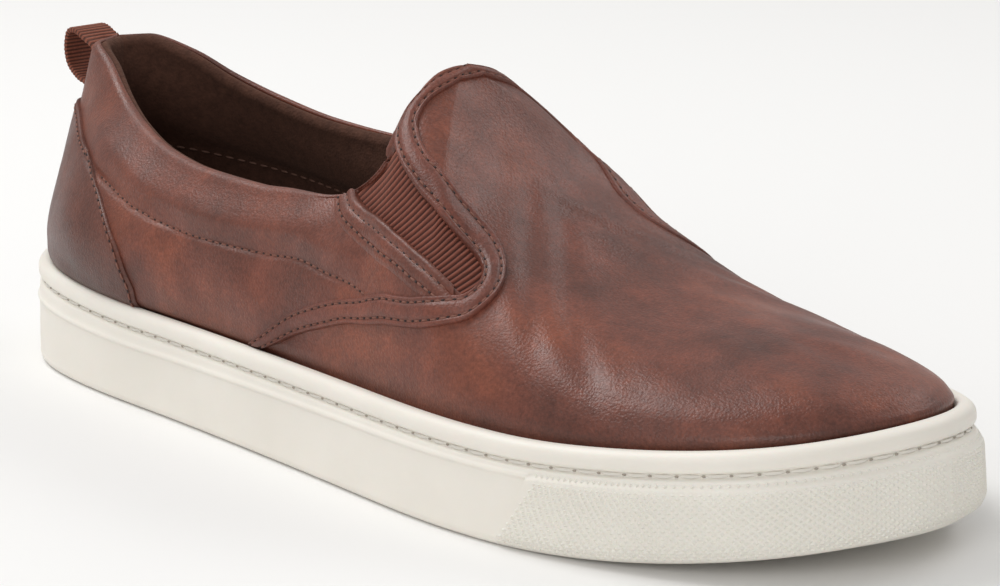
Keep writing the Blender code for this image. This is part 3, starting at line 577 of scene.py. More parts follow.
def piece_from(name, points, faces, uv=None, merge=0.00002, smooth=60.0):
    """A mesh piece in the part's frame, merged, facing outwards and shaded smooth."""
    mesh = bpy.data.meshes.new(name)
    mesh.from_pydata([tuple(p) for p in place(points)], [], faces)
    if uv is not None:
        layer = mesh.uv_layers.new(name="UVMap")
        loops = np.array([loop.vertex_index for loop in mesh.loops])
        layer.data.foreach_set("uv", np.asarray(uv)[loops].astype(np.float32).ravel())
    obj = bpy.data.objects.new(name, mesh)
    bpy.context.scene.collection.objects.link(obj)
    work = bmesh.new()
    work.from_mesh(mesh)
    bmesh.ops.remove_doubles(work, verts=work.verts, dist=merge)
    bmesh.ops.recalc_face_normals(work, faces=work.faces)
    work.to_mesh(mesh)
    work.free()
    mesh.polygons.foreach_set("use_smooth", [True] * len(mesh.polygons))
    mesh.set_sharp_from_angle(angle=math.radians(smooth))
    return obj


def grid_faces(rows, columns, keep=None, first=0, wrap=False):
    """Quads of a grid of points stored row by row."""
    faces = []
    for i in range(rows - 1):
        for j in range(columns if wrap else columns - 1):
            k = (j + 1) % columns
            if keep is None or keep[i, j]:
                a, b = first + i * columns, first + (i + 1) * columns
                faces.append((a + j, a + k, b + k, b + j))
    return faces


def flip_to(obj, outward):
    """Turn the faces round if the first one looks against the direction given at its place."""
    face = obj.data.polygons[0]
    if np.dot(np.array(face.normal), outward) < 0.0:
        obj.data.flip_normals()


def solidify(obj, thickness, offset=-1.0):
    """Give a skin its wall, inwards from the outer face."""
    deselect()
    obj.select_set(True)
    bpy.context.view_layer.objects.active = obj
    wall = obj.modifiers.new("wall", "SOLIDIFY")
    wall.thickness = thickness
    wall.offset = offset
    wall.use_even_offset = False
    bpy.ops.object.modifier_apply(modifier=wall.name)


def dress(obj, material, node=None):
    """Material, slot and body of a piece, and the node whose place it takes."""
    obj.data.materials.clear()
    obj.data.materials.append(material)
    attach(obj, "root")
    if node:
        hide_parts(node)
    return obj


def run_length(points):
    """Length along a line of points at each of them."""
    return np.r_[0.0, np.cumsum(np.linalg.norm(np.diff(points, axis=0), axis=1))]


# ---- relief of the leather ----


def gore_polygon():
    rows = pick_rows(GORE_ROWS, 60)
    return np.vstack([rows[:, :2], rows[::-1, 2:]])


def to_flat(round_share, up):
    """Rough flat millimetres on a quarter, to measure short distances between seams."""
    return np.stack([np.asarray(round_share) * FLAT_ROUND, np.asarray(up) * FLAT_UP], axis=-1)


def nearest_on(line, spots):
    """Nearest points on a polyline, for many spots at once."""
    best = np.full(len(spots), 1e9)
    where = np.zeros_like(spots)
    for a, b in zip(line[:-1], line[1:]):
        ab = b - a
        t = np.clip(((spots - a) @ ab) / max(ab @ ab, 1e-12), 0.0, 1.0)
        p = a + t[:, None] * ab
        d = np.linalg.norm(spots - p, axis=1)
        closer = d < best
        best = np.where(closer, d, best)
        where = np.where(closer[:, None], p, where)
    return where


def inside(polygon, spots):
    """Which spots lie inside a closed polygon."""
    hit = np.zeros(len(spots), bool)
    for (x0, y0), (x1, y1) in zip(polygon, np.roll(polygon, -1, axis=0)):
        cross = (y0 > spots[:, 1]) != (y1 > spots[:, 1])
        with np.errstate(divide="ignore", invalid="ignore"):
            x = x0 + (spots[:, 1] - y0) * (x1 - x0) / (y1 - y0)
        hit ^= cross & (spots[:, 0] < x)
    return hit


PAD = Table(PAD_LINE)


def soft(value, centre, width):
    return np.exp(-((value - centre) / width) ** 2)


def relief(signed, up):
    """How far the leather stands out from the plain last, in metres."""
    share = np.abs(signed)
    side = np.where(signed < 0, 0.0, 1.7)
    over = up - PAD(0, share)
    on_quarter = ease(0.10, 0.18, share) * (1.0 - ease(0.50, 0.54, share))
    puff = 0.0019 * ease(0.0, 0.16, over) * (1.0 - ease(0.75, 1.02, up))
    groove = -0.0007 * soft(over, 0.0, 0.018)
    out = on_quarter * (puff + groove)
    tuck = 0.0005 * soft(up, 0.07, 0.05) - 0.0003 * soft(up, 0.0, 0.02)
    out = out + tuck
    # soft folds where the foot bends the vamp, and slack leather on the quarters
    vamp = ease(0.62, 0.68, share) * (1.0 - ease(0.80, 0.88, share)) * ease(0.12, 0.3, up)
    for where, slant, depth in ((0.665, 0.020, 0.00025), (0.700, 0.045, 0.00035), (0.742, 0.060, 0.0003)):
        out = out - vamp * depth * soft(share + slant * (up - 0.5), where, 0.011)
        out = out + vamp * 0.6 * depth * soft(share + slant * (up - 0.5), where + 0.020, 0.012)
    slack = np.sin(61.0 * share + 7.0 * up + side) + np.sin(27.0 * share - 11.0 * up + 2.0 * side)
    free = ease(0.0, 0.06, share) * (1.0 - ease(0.92, 1.0, share)) * (1.0 - ease(0.7, 0.95, up))
    return out + 0.00016 * slack * ease(0.05, 0.2, up) * free


def skin_point(signed, up, lift=0.0):
    """Point on the finished leather."""
    point = upper_point(signed, up)
    return point + full_normal(signed, up) * (relief(np.asarray(signed), np.asarray(up)) + lift)[..., None]


def skin_columns():
    """Signed shares from the toe along the outer side round the heel and back on the inner side."""
    spans = ((1.0, TAB_ROUND, 120), (TAB_ROUND, 0.47, 56), (0.47, 0.12, 96), (0.12, 0.0, 44))
    half = []
    for start, end, count in spans:
        half += [start + (end - start) * k / count for k in range(count)]
    half = np.array(half)
    return np.r_[-half, 0.0, half[::-1]]


def build_leather():
    """Outer skin from the sole up, over the rim of the collar to its seam with the lining."""
    columns = skin_columns()
    levels = np.r_[np.linspace(-0.12, 0.16, 11)[:-1], np.linspace(0.16, 1.0, 48)]
    signed = np.broadcast_to(columns, (len(levels), len(columns))).copy()
    up = np.broadcast_to(levels[:, None], signed.shape).copy()
    gone = np.zeros(signed.shape, bool)
    polygon = to_flat(*gore_polygon().T)
    for side in (-1, 1):
        spots = to_flat(side * signed, up).reshape(-1, 2)
        inner = inside(polygon, spots).reshape(signed.shape) & (side * signed > 0)
        around = [np.roll(inner, (i, j), (0, 1)) for i in (-1, 0, 1) for j in (-1, 0, 1)]
        edge = inner & ~np.logical_and.reduce(around)
        edge &= up < 0.9999
        near = nearest_on(np.vstack([polygon, polygon[:1]]), spots).reshape(signed.shape + (2,))
        signed = np.where(edge, side * near[..., 0] / FLAT_ROUND, signed)
        up = np.where(edge, near[..., 1] / FLAT_UP, up)
        gone |= inner
    signed = np.where(np.abs(signed) < 1e-7, 1e-7, signed)
    point = skin_point(signed, up)
    rows, count = signed.shape
    keep = ~(gone[:-1, :-1] & gone[1:, :-1] & gone[1:, 1:] & gone[:-1, 1:])
    faces = grid_faces(rows, count, keep)
    points = [point.reshape(-1, 3)]
    uv = [np.stack([signed * FLAT_ROUND, up * FLAT_UP], axis=-1).reshape(-1, 2) / 100.0]
    # over the rim, down to the seam with the lining
    collar = np.where(np.abs(columns) <= TAB_ROUND + 1e-9)[0]
    first = (rows - 1) * count
    last_row = [first + c for c in collar]
    profile = rim_rows(columns[collar], np.linspace(0.0, RIM_SEAM, 9)[1:])
    total = rows * count
    for row in profile:
        points.append(row)
        uv.append(np.stack([columns[collar] * 3.35, np.full(len(collar), 0.65)], axis=-1))
        here = list(range(total, total + len(collar)))
        for a, b, c, d, hole in zip(last_row[:-1], last_row[1:], here[1:], here[:-1],
                                    gone[-1, collar[:-1]] & gone[-1, collar[1:]]):
            if not hole:
                faces.append((a, b, c, d))
        last_row = here
        total += len(collar)
    leather = piece_from("upper_leather", np.vstack(points), faces, np.vstack(uv))
    flip_to(leather, (0.9, 0.0, 0.1))
    relax(leather)
    shade_attribute(leather)
    solidify(leather, SKIN)
    return leather


def relax(obj, times=60):
    """Smooth the ridge of the vamp and the tip of the toe, where the two halves of the law meet.

    Each pass pulls a point towards its neighbours and then pushes it back a little further, which
    takes out a crease and keeps the swell of the leather.
    """
    mesh = obj.data
    co = np.array([v.co for v in mesh.vertices])
    start = co.copy()
    x, y, z = (co - (HEEL_X, MIDDLE_Y, 0.0)).T
    x = x / SOLE_LENGTH
    ridge_y = np.interp(x, TOP.y[0][-9:], TOP.y[1][-9:]) * BALL_WIDTH
    z_top = np.interp(x, TOP.y[0][-9:], TOP.y[3][-9:]) * HEEL_HEIGHT
    ridge = 1.0 - ease(0.010, 0.022, np.abs(y - ridge_y))
    ridge *= ease(0.500, 0.512, x) * ease(-0.014, -0.008, z - z_top)
    share = np.maximum(ridge, ease(0.90, 0.93, x) * ease(0.038, 0.046, z))
    ends = np.array([e.vertices[:] for e in mesh.edges])
    a, b = np.r_[ends[:, 0], ends[:, 1]], np.r_[ends[:, 1], ends[:, 0]]
    loops = np.array([loop.edge_index for loop in mesh.loops])
    rim = np.bincount(loops, minlength=len(ends)) < 2
    share[ends[rim].ravel()] = 0.0
    count = np.bincount(a, minlength=len(co))[:, None]
    for k in range(2 * times):
        pull = (0.5, -0.52)[k % 2]
        total = [np.bincount(a, weights=co[b, i], minlength=len(co)) for i in range(3)]
        mean = np.stack(total, axis=1) / count
        co = np.where(share[:, None] > 0.0, co + pull * (mean - co), co)
    co = start + (co - start) * share[:, None]
    mesh.vertices.foreach_set("co", co.astype(np.float32).ravel())
    mesh.update()
    mesh.set_sharp_from_angle(angle=math.radians(60.0))


def rim_rows(signed, turns):
    """Rows over the rim of the collar: turn 0 on the outer face, 1 on the inner face."""
    signed = np.where(np.abs(signed) < 1e-7, 1e-7, signed)
    top = upper_point(signed, np.ones(len(signed)))
    normal = full_normal(signed, np.ones(len(signed)))
    along = np.gradient(top, axis=0)
    away = np.cross(along, normal)
    away /= np.linalg.norm(away, axis=1, keepdims=True)
    away *= np.sign(away[:, 2:3] + 1e-9)
    thick = wall_at(np.abs(signed), 1.0)[:, None]
    rows = []
    for turn in turns:
        across = 0.5 * (1.0 - math.cos(math.pi * turn))
        rise = math.sin(math.pi * turn)
        seam = math.exp(-((turn - RIM_SEAM) / 0.05) ** 2)
        bulge = 0.55 * (thick - 0.0008) * rise - 0.0007 * seam
        rows.append(top - normal * thick * across + away * bulge)
    return rows


def build_lining():
    """Textile lining: from the seam on the rim down to the insole, and under the vamp."""
    columns = skin_columns()
    columns = columns[np.r_[0:len(columns):2]]
    levels = np.linspace(1.0, -0.9, 34)
    collar = np.where(np.abs(columns) <= TAB_ROUND + 1e-9)[0]
    profile = rim_rows(columns[collar], np.linspace(RIM_SEAM, 1.0, 14)[:-1])
    signed = np.broadcast_to(columns, (len(levels), len(columns))).copy()
    signed = np.where(np.abs(signed) < 1e-7, 1e-7, signed)
    up = np.broadcast_to(levels[:, None], signed.shape)
    thick = wall_at(np.abs(signed), np.maximum(up, 0.0))
    pad = 0.0016 * (ease(0.50, 0.60, up) - ease(0.80, 1.0, up)) * (1.0 - ease(0.38, 0.46, np.abs(signed)))
    point = upper_point(signed, up) - full_normal(signed, up) * (thick + pad)[..., None]
    rows, count = signed.shape
    points = [point.reshape(-1, 3)]
    uv = [np.stack([signed * FLAT_ROUND, up * FLAT_UP], axis=-1).reshape(-1, 2) / 100.0]
    faces = grid_faces(rows, count)
    total = rows * count
    next_row = list(collar)
    for k, row in enumerate(profile[::-1]):
        points.append(row)
        uv.append(np.stack([columns[collar] * 3.35, np.full(len(collar), 0.63 + 0.01 * k)], axis=-1))
        here = list(range(total, total + len(collar)))
        faces += [(a, b, c, d) for a, b, c, d in zip(next_row[1:], next_row[:-1], here[:-1], here[1:])]
        next_row = here
        total += len(collar)
    lining = piece_from("lining", np.vstack(points), faces, np.vstack(uv))
    flip_to(lining, (0.0, 0.0, -1.0))
    return lining


# ---- panels and trims on the leather ----


def strip_piece(name, rows, across, profile, inner=1.0):
    """Strip between two lines of the upper: rows hold both lines, profile its height across.

    inner: share of that height left at the last row, for a strip that runs over to the inner side.
    """
    s = np.array([p[0] for p in profile])
    height = np.array([p[1] for p in profile])
    signed = rows[:, 0:1] + (rows[:, 2:3] - rows[:, 0:1]) * s
    up = rows[:, 1:2] + (rows[:, 3:4] - rows[:, 1:2]) * s
    point, normal = upper_point(signed, up), full_normal(signed, up)
    base = relief(signed, up)
    taper = 1.0 + (inner - 1.0) * ease(0.0, 0.12, np.linspace(-1.0, 1.0, len(rows)))[:, None]
    shaped = point + normal * (base + height * taper)[..., None]
    n, m = signed.shape
    uv = np.stack([np.broadcast_to(run_length(shaped[:, m // 2])[:, None], (n, m)),
                   np.broadcast_to(s * across, (n, m))], axis=-1).reshape(-1, 2)
    return piece_from(name, shaped.reshape(-1, 3), grid_faces(n, m), uv)


def both_sides(table, count):
    """Rows of the trim on the outer side, over the middle and down the inner side."""
    rows = pick_rows(table, count)
    outer = rows * (-1.0, 1.0, -1.0, 1.0)
    return np.vstack([outer, rows[-2::-1]])


TRIM_PROFILE = (
    (0.00, -0.0002), (0.00, 0.0004), (0.02, 0.0009), (0.07, 0.00125), (0.13, 0.0012), (0.17, 0.0009),
    (0.21, 0.0009), (0.26, 0.0013), (0.38, 0.0015), (0.62, 0.0015), (0.72, 0.0013), (0.77, 0.0009),
    (0.81, 0.0009), (0.86, 0.0012), (0.93, 0.00125), (0.98, 0.0009), (1.00, 0.0004), (1.00, -0.0002),
)


def build_trim():
    """Band on the edge of the vamp: two raised beads with a stitched groove inside each."""
    band = strip_piece("vamp_band", both_sides(TRIM_ROWS, 190), 0.007, TRIM_PROFILE, 0.5)
    shade_attribute(band)
    return band


def counter_rows(count=130):
    """How far the heel counter reaches round at each height, from low to high."""
    reach = Table(COUNTER_ROWS)
    up = np.linspace(0.02, COUNTER_ROWS[-1][0], count)
    return reach(0, up), up


def build_counter():
    """Panel round the back of the heel, up to its folded top edge."""
    reach, up = counter_rows(60)
    across = np.r_[-1.0, -1.0, -0.99, np.linspace(-0.97, 0.97, 110), 0.99, 1.0, 1.0]
    edge = np.r_[-0.0002, 0.0004, 0.0008, np.full(110, 0.0010), 0.0008, 0.0004, -0.0002]
    top = np.r_[up, up[-1] + 0.004, up[-1] + 0.004]
    reach = np.r_[reach, reach[-1], reach[-1]]
    drop = np.r_[np.zeros(len(up)), -0.0003, -0.0012]
    signed = reach[:, None] * across
    signed = np.where(np.abs(signed) < 1e-7, 1e-7, signed)
    levels = np.broadcast_to(top[:, None], signed.shape)
    height = relief(signed, levels) + edge + drop[:, None]
    shaped = upper_point(signed, levels) + full_normal(signed, levels) * height[..., None]
    n, m = signed.shape
    uv = np.stack([signed * 3.35, levels * 0.62], axis=-1).reshape(-1, 2)
    panel = piece_from("counter_panel", shaped.reshape(-1, 3), grid_faces(n, m), uv)
    shade_attribute(panel)
    return panel


def facing(azimuth, elevation):
    """Right and up of a view square to a surface, from its two angles in degrees."""
    a, e = math.radians(azimuth), math.radians(elevation)
    back = np.array([math.sin(a) * math.cos(e), -math.cos(a) * math.cos(e), math.sin(e)])
    right = np.array([math.cos(a), math.sin(a), 0.0])
    return right, np.cross(back, right)


def rib_phase(point):
    """Number of the rib at a point of the outer insert: straight ribs in a slight fan."""
    right, up = facing(CAMERA_AZIMUTH, CAMERA_ELEVATION)
    top, tip = GORE_ROWS[0], GORE_ROWS[8]
    ends = upper_point(np.array([-top[0], -tip[0]]), np.array([top[1], tip[1]]))
    flat = np.stack([ends @ right, ends @ up], axis=-1)
    turns = [math.radians(t) for t in (RIB_TURN_TOP, RIB_TURN_TIP)]
    lines = [np.array([math.cos(t), math.sin(t)]) for t in turns]
    back = np.linalg.solve(np.stack([lines[0], -lines[1]], axis=1), flat[1] - flat[0])
    apex = flat[0] + lines[0] * back[0]
    turn = np.degrees(np.arctan2(point @ up - apex[1], point @ right - apex[0]))
    return (turn - RIB_TURN_TOP) / (RIB_TURN_TIP - RIB_TURN_TOP) * RIB_COUNT


def build_gores():
    """Elastic inserts with their ribs running from the quarter to the vamp."""
    made = []
    rows = pick_rows(GORE_ROWS, 260)
    s = np.linspace(-0.10, 1.10, 90)
    for side, name in ((-1, "elastic_outer"), (1, "elastic_inner")):
        share = rows[:, 0:1] + (rows[:, 2:3] - rows[:, 0:1]) * s
        up = rows[:, 1:2] + (rows[:, 3:4] - rows[:, 1:2]) * s
        signed = side * share
        point, normal = upper_point(signed, up), full_normal(signed, np.minimum(up, 1.0))
        run = rib_phase(point * (1.0, -side, 1.0)) * RIB_PITCH
        rib = 0.5 + 0.5 * np.cos(2.0 * math.pi * run / RIB_PITCH)
        sag = 0.0004 * np.sin(np.pi * np.clip(s, 0.0, 1.0))
        height = -0.0008 + 0.00045 * rib ** 0.6 - sag
        shaped = point + normal * height[..., None]
        n, m = signed.shape
        uv = np.stack([run, np.linalg.norm(point - point[0, 0], axis=-1)], axis=-1)
        gore = piece_from(name, shaped.reshape(-1, 3), grid_faces(n, m), uv.reshape(-1, 2))
        flip_to(gore, (0.0, float(side), 0.5))
        solidify(gore, 0.0010)
        made.append(gore)
    return made


HEM_PROFILE = (
    (0.00, -0.0012), (0.00, 0.0002), (0.02, 0.0008), (0.07, 0.0011), (0.15, 0.0011), (0.24, 0.0009),
    (0.30, 0.00055), (0.36, 0.0009), (0.50, 0.00085), (0.62, 0.0007), (0.70, 0.00035), (0.78, 0.0005),
    (0.90, 0.0003), (1.00, -0.0003),
)


def build_hems():
    """Folded edge of each quarter along its insert, with room for two rows of stitches."""
    made = []
    for side, name in ((-1, "insert_hem_outer"), (1, "insert_hem_inner")):
        near = offset_line(side, -0.35)
        far = offset_line(side, 6.6)
        rows = np.column_stack([near[0], near[1], far[0], far[1]])
        rows = rows[np.abs(rows[:, 0]) < 0.634]
        rows[:, 1] = np.minimum(rows[:, 1], 0.999)
        rows[:, 3] = np.minimum(rows[:, 3], 0.999)
        hem = strip_piece(name, rows, 0.007, HEM_PROFILE)
        shade_attribute(hem)
        made.append(hem)
    return made


def build_insole():
    """The insole's own outline with a soft crown, from the law of the cup's floor."""
    share = np.linspace(0.0, 1.0, 121)
    rungs = np.linspace(0.0, 1.0, 25)
    inset = CUP_WALL + CUP_GAP + UPPER_WALL + PIECE_GAP
    low = EDGE(-np.maximum(share, 1e-7), inset + toe_lean(share))
    high = EDGE(np.maximum(share, 1e-7), inset + toe_lean(share))
    spot = low[:, None] + (high - low)[:, None] * rungs[:, None]
    dish = INSOLE_THICKNESS + INSOLE_DISH * (2.0 * rungs - 1.0) ** 2
    dish = dish - 0.0012 * soft(np.abs(2 * rungs - 1), 1.0, 0.06)
    z = floor_top(spot[..., 0]) + PIECE_GAP + dish
    point = np.concatenate([spot, z[..., None]], axis=-1)
    n, m = z.shape
    obj = piece_from("insole_cover", point.reshape(-1, 3), grid_faces(n, m), spot.reshape(-1, 2) * 10.0)
    flip_to(obj, (0.0, 0.0, 1.0))
    solidify(obj, 0.0012)
    return obj


def heel_back(y, z):
    """Where the back of the heel lies at a distance from the middle and a height."""
    low, high = (upper_point(np.array([1e-7]), np.array([v]))[0, 2] for v in (0.0, 1.0))
    up = min((z - low) / (high - low), 1.0)
    share = np.linspace(0.0, 0.14, 80)
    side = -1.0 if y < 0.0 else 1.0
    walk = upper_point(side * np.maximum(share, 1e-7), np.full(80, up))
    run = np.maximum.accumulate(side * walk[:, 1])
    return float(np.interp(abs(y), run, walk[:, 0]))


def build_loop():
    """Ribbed webbing, one closed band of rectangular section swept along the loop's path."""
    rows = pick_rows(np.array(LOOP_ROWS) * (HEEL_HEIGHT, 1.0), 300)
    ahead = np.gradient(rows, axis=0)
    ahead /= np.linalg.norm(ahead, axis=1, keepdims=True)
    run = run_length(rows)
    rib = 0.00022 * (0.5 + 0.5 * np.cos(2.0 * math.pi * run / LOOP_RIB_PITCH)) ** 0.7
    half = 0.5 * LOOP_THICKNESS - 0.0002
    ys = LOOP_MIDDLE + np.linspace(-0.5, 0.5, 15) * (LOOP_WIDTH - 0.0004)
    edge_y = LOOP_WIDTH * 0.5
    loose = ease(0.0012, 0.0060, rows[:, 1])
    ring = [(y, 1.0) for y in ys] + [(LOOP_MIDDLE + edge_y, 0.3), (LOOP_MIDDLE + edge_y, -0.3)]
    ring += [(y, -1.0) for y in ys[::-1]] + [(LOOP_MIDDLE - edge_y, -0.3), (LOOP_MIDDLE - edge_y, 0.3)]
    points = []
    for (height, away), (dz, da), free, wave in zip(rows, ahead, loose, rib):
        flat = heel_back(LOOP_MIDDLE, height)
        for y, side in ring:
            lift = side * (half + wave)
            z = height - da * lift
            gap = away + dz * lift
            points.append((flat + (heel_back(y, height) - flat) * (1.0 - free) - gap, y, z))
    n, m = len(rows), len(ring)
    faces = grid_faces(n, m, wrap=True)
    faces.append(tuple(range(m)))
    faces.append(tuple(range((n - 1) * m, n * m))[::-1])
    uv = np.stack([np.repeat(run, m), np.tile(np.arange(m) * 0.0008, n)], axis=-1)
    return piece_from("pull_loop", points, faces, uv)


# ---- stitching ----


def stitch_shape():
    """One stitch: a short rounded bar along x, with its middle at the origin."""
    deselect()
    bpy.ops.mesh.primitive_uv_sphere_add(segments=8, ring_count=6, radius=1.0,
                                         rotation=(0.0, math.pi / 2, 0.0))
    ball = bpy.context.object
    bpy.ops.object.transform_apply(rotation=True)
    co = np.array([v.co for v in ball.data.vertices])
    co[:, 0] = np.sign(co[:, 0]) * np.abs(co[:, 0]) ** 0.7
    faces = [tuple(p.vertices) for p in ball.data.polygons]
    bpy.data.objects.remove(ball, do_unlink=True)
    return co, faces


def stitches(name, routes, pitch, length, width, height=0.8, dip=0.25, start=0.5):
    """Stitches along routes of (points, normals), one every pitch, each lying in its own dent."""
    shape, shape_faces = stitch_shape()
    points, faces = [], []
    for line, normals in routes:
        run = run_length(line)
        count = max(int(run[-1] / pitch), 1)
        for at in (np.arange(count) + start) * run[-1] / count:
            spot = np.array([np.interp(at, run, line[:, k]) for k in range(3)])
            ahead = np.array([np.interp(min(at + 0.0005, run[-1]), run, line[:, k]) for k in range(3)])
            behind = np.array([np.interp(max(at - 0.0005, 0.0), run, line[:, k]) for k in range(3)])
            normal = np.array([np.interp(at, run, normals[:, k]) for k in range(3)])
            x = ahead - behind
            x /= np.linalg.norm(x)
            normal -= x * (normal @ x)
            normal /= np.linalg.norm(normal)
            y = np.cross(normal, x)
            first = len(points)
            for a, b, c in shape:
                bend = -dip * width * a * a
                points.append(spot + x * a * length / 2 + y * b * width / 2
                              + normal * (c * width * height / 2 + bend))
            faces += [tuple(first + i for i in f) for f in shape_faces]
    return piece_from(name, np.array(points), faces, merge=0.0000001)


def route(signed, up, lift):
    """Points and normals of a seam on the skin, lifted off it."""
    signed, up = np.asarray(signed, float), np.asarray(up, float)
    normal = full_normal(signed, up)
    return skin_point(signed, up, lift), normal


def across_trim(rows, s, lift):
    """Route along the trim at a share of its width."""
    lift = lift * (1.0 - 0.5 * ease(0.0, 0.12, np.linspace(-1.0, 1.0, len(rows))))
    signed = rows[:, 0] + (rows[:, 2] - rows[:, 0]) * s
    up = rows[:, 1] + (rows[:, 3] - rows[:, 1]) * s
    return route(signed, up, lift)


def offset_line(side, distance, count=160):
    """A line beside the rear edge of the insert, moved away from it by a distance in millimetres."""
    rows = pick_rows(GORE_ROWS, count)[:, :2]
    flat = to_flat(rows[:, 0], rows[:, 1])
    ahead = np.gradient(flat, axis=0)
    ahead /= np.linalg.norm(ahead, axis=1, keepdims=True)
    away = np.stack([ahead[:, 1], -ahead[:, 0]], axis=1)
    away *= np.sign(-away[:, :1] - away[:, 1:] + 1e-9)
    moved = flat + away * distance
    return side * moved[:, 0] / FLAT_ROUND, moved[:, 1] / FLAT_UP


def build_leather_stitches():
    """Thread of the trim, the counter, the collar band and the hems, with dark spots at the needle holes:
    painted shade in the holes.
    """
    routes = []
    trim = both_sides(TRIM_ROWS, 190)
    for s in (0.19, 0.79):
        routes.append(across_trim(trim, s, 0.0010))
    reach, up = counter_rows()
    pad = np.linspace(0.19, 0.537, 160)
    for side in (-1, 1):
        routes.append(route(side * (reach - 0.0045), up, 0.0011))
        routes.append(route(side * pad, PAD(0, pad), 0.0001))
        for distance in (1.75, 4.5):
            signed, level = offset_line(side, distance)
            keep = (level < 0.975) & (np.abs(signed) < 0.628)
            routes.append(route(signed[keep], level[keep], 0.0006))
    top = np.linspace(-0.148, 0.148, 80)
    routes.append(route(top, np.full(80, 0.715), 0.0011))
    thread = stitches("leather_stitches", routes, STITCH_PITCH, STITCH_LENGTH, STITCH_WIDTH)
    # dark spots at the ends of the stitches: painted shade in the needle holes
    hole_shade = stitches("leather_stitch_hole_shade", routes, STITCH_PITCH, 0.0008, 0.0006, 0.5, 0.0, start=0.0)
    return thread, hole_shade


def build_lining_stitches():
    """Seam where the padded lining of the collar meets the lining of the heel."""
    signed = np.linspace(-0.36, 0.36, 300)
    up = np.full(300, 0.46)
    wall = wall_at(np.abs(signed), up)
    normal = full_normal(signed, up)
    line = upper_point(signed, up) - normal * (wall + 0.0001)[:, None]
    return stitches("lining_stitches", [(line, -normal)], 0.0034, 0.0025, 0.0007)


# ---- sole ----


def cut_corners(rows, times=2):
    """Round the corners of a profile: each corner gives way to two points beside it."""
    for _ in range(times):
        out = [rows[0]]
        for a, b in zip(rows[:-1], rows[1:]):
            out += [a * 0.75 + b * 0.25, a * 0.25 + b * 0.75]
        rows = np.array(out + [rows[-1]])
    return rows


BUMPER_LOW = {side: EDGE.share_at(side, BUMPER_START_LOW * SOLE_LENGTH) for side in (-1, 1)}
BUMPER_HIGH = {side: EDGE.share_at(side, BUMPER_START_HIGH * SOLE_LENGTH) for side in (-1, 1)}
BUMPER_EDGE = 0.5 * (BUMPER_LOW[-1] + BUMPER_LOW[1])


def sole_side(signed, level, rise, out, lean, rib, bumper, groove, lip, climb):
    """Point on the side of the cup, by its row of the table of the side."""
    side = np.where(signed < 0, -1, 1)
    height = np.clip((level + rise / WALL_HEIGHT) / BUMPER_SLANT_TOP, 0.0, 1.0)
    gap = np.where(side < 0, BUMPER_HIGH[-1] - BUMPER_EDGE, BUMPER_HIGH[1] - BUMPER_LOW[1])
    near = np.clip(1.0 - np.abs(np.abs(signed) - BUMPER_EDGE) / 0.12, 0.0, 1.0)
    at = signed + side * gap * height * near
    base = EDGE(at)
    push = out - lean * toe_lean(at) + LIP_PROUD * lip - GROOVE_DEPTH * groove
    push = push + np.where(np.abs(signed) > BUMPER_EDGE, BUMPER_PROUD * bumper, RIB_PROUD * rib)
    spot = EDGE(at, -push)
    z = ground(base[..., 0]) + level * wall_height(base[..., 0]) + rise
    z = z + LINE_CLIMB * climb * line_climb(base[..., 0])
    return np.concatenate([spot, z[..., None]], axis=-1)


def build_sole():
    """The rubber cup: its side profile swept round the edge, closed underneath and by its floor."""
    share = np.r_[np.linspace(0.0, 0.2, 61)[:-1], np.linspace(0.2, 0.75, 81)[:-1],
                  np.linspace(0.75, 1.0, 81)]
    share = share[np.abs(share - BUMPER_EDGE) > 0.004]
    share = np.sort(np.r_[share, BUMPER_EDGE - 0.0006, BUMPER_EDGE + 0.0006])
    share[0] = 1e-7
    signed = np.r_[-share, share[-2:0:-1]]
    profile = cut_corners(np.array(SIDE_ROWS))
    rows = [sole_side(signed, *(np.full(len(signed), v) for v in row)) for row in profile]
    wall = EDGE(signed, CUP_WALL + toe_lean(signed))
    rows.append(np.column_stack([wall, floor_top(wall[:, 0])]))
    n, m = len(rows), len(signed)
    points = list(np.vstack(rows))
    faces = grid_faces(n, m, wrap=True)
    half = len(share)

    def close(first, z_at, columns):
        outer = [first + k for k in range(half)]
        inner = [first] + [first + m - k for k in range(1, half - 1)] + [first + half - 1]
        rungs = []
        for k in range(1, half - 1):
            a, b = np.array(points[outer[k]]), np.array(points[inner[k]])
            rung = [outer[k]]
            for j in range(1, columns):
                p = a + (b - a) * j / columns
                p[2] = z_at(p[0], j / columns)
                rung.append(len(points))
                points.append(p)
            rungs.append(rung + [inner[k]])
        for a, b in zip(rungs[:-1], rungs[1:]):
            faces.extend((a[k], a[k + 1], b[k + 1], b[k]) for k in range(columns))
        for end, rung in ((outer[0], rungs[0]), (outer[-1], rungs[-1])):
            faces.extend((end, a, b) for a, b in zip(rung[:-1], rung[1:]))

    def under(x, s):
        along = x / SOLE_LENGTH
        arch = ease(0.30, 0.42, along) * (1.0 - ease(0.52, 0.64, along))
        return ground(x) + ARCH_HOLLOW * arch * ease(0.0, 0.34, min(s, 1.0 - s))

    close(0, under, 16)
    close((n - 1) * m, lambda x, s: floor_top(x), 4)
    return piece_from("rubber_sole", np.array(points), faces, smooth=50.0)


BUMPER_PATH = np.array((
    # level, rise, out, lean, bumper: the bumper's own profile at the toe
    (0.0, 0.0006, -0.0005, 0.0, 0.0),
    (0.0, 0.0020, 0.0000, 0.0, 0.0),
    (0.0, 0.0030, 0.0000, 0.1, 1.0),
    (0.4, 0.0000, 0.0000, 0.3, 1.0),
    (1.0, -0.0085, 0.0000, 0.5, 1.0),
    (1.0, -0.0074, 0.0000, 0.6, 0.0),
    (1.0, -0.0060, 0.0000, 0.8, 0.0),
))


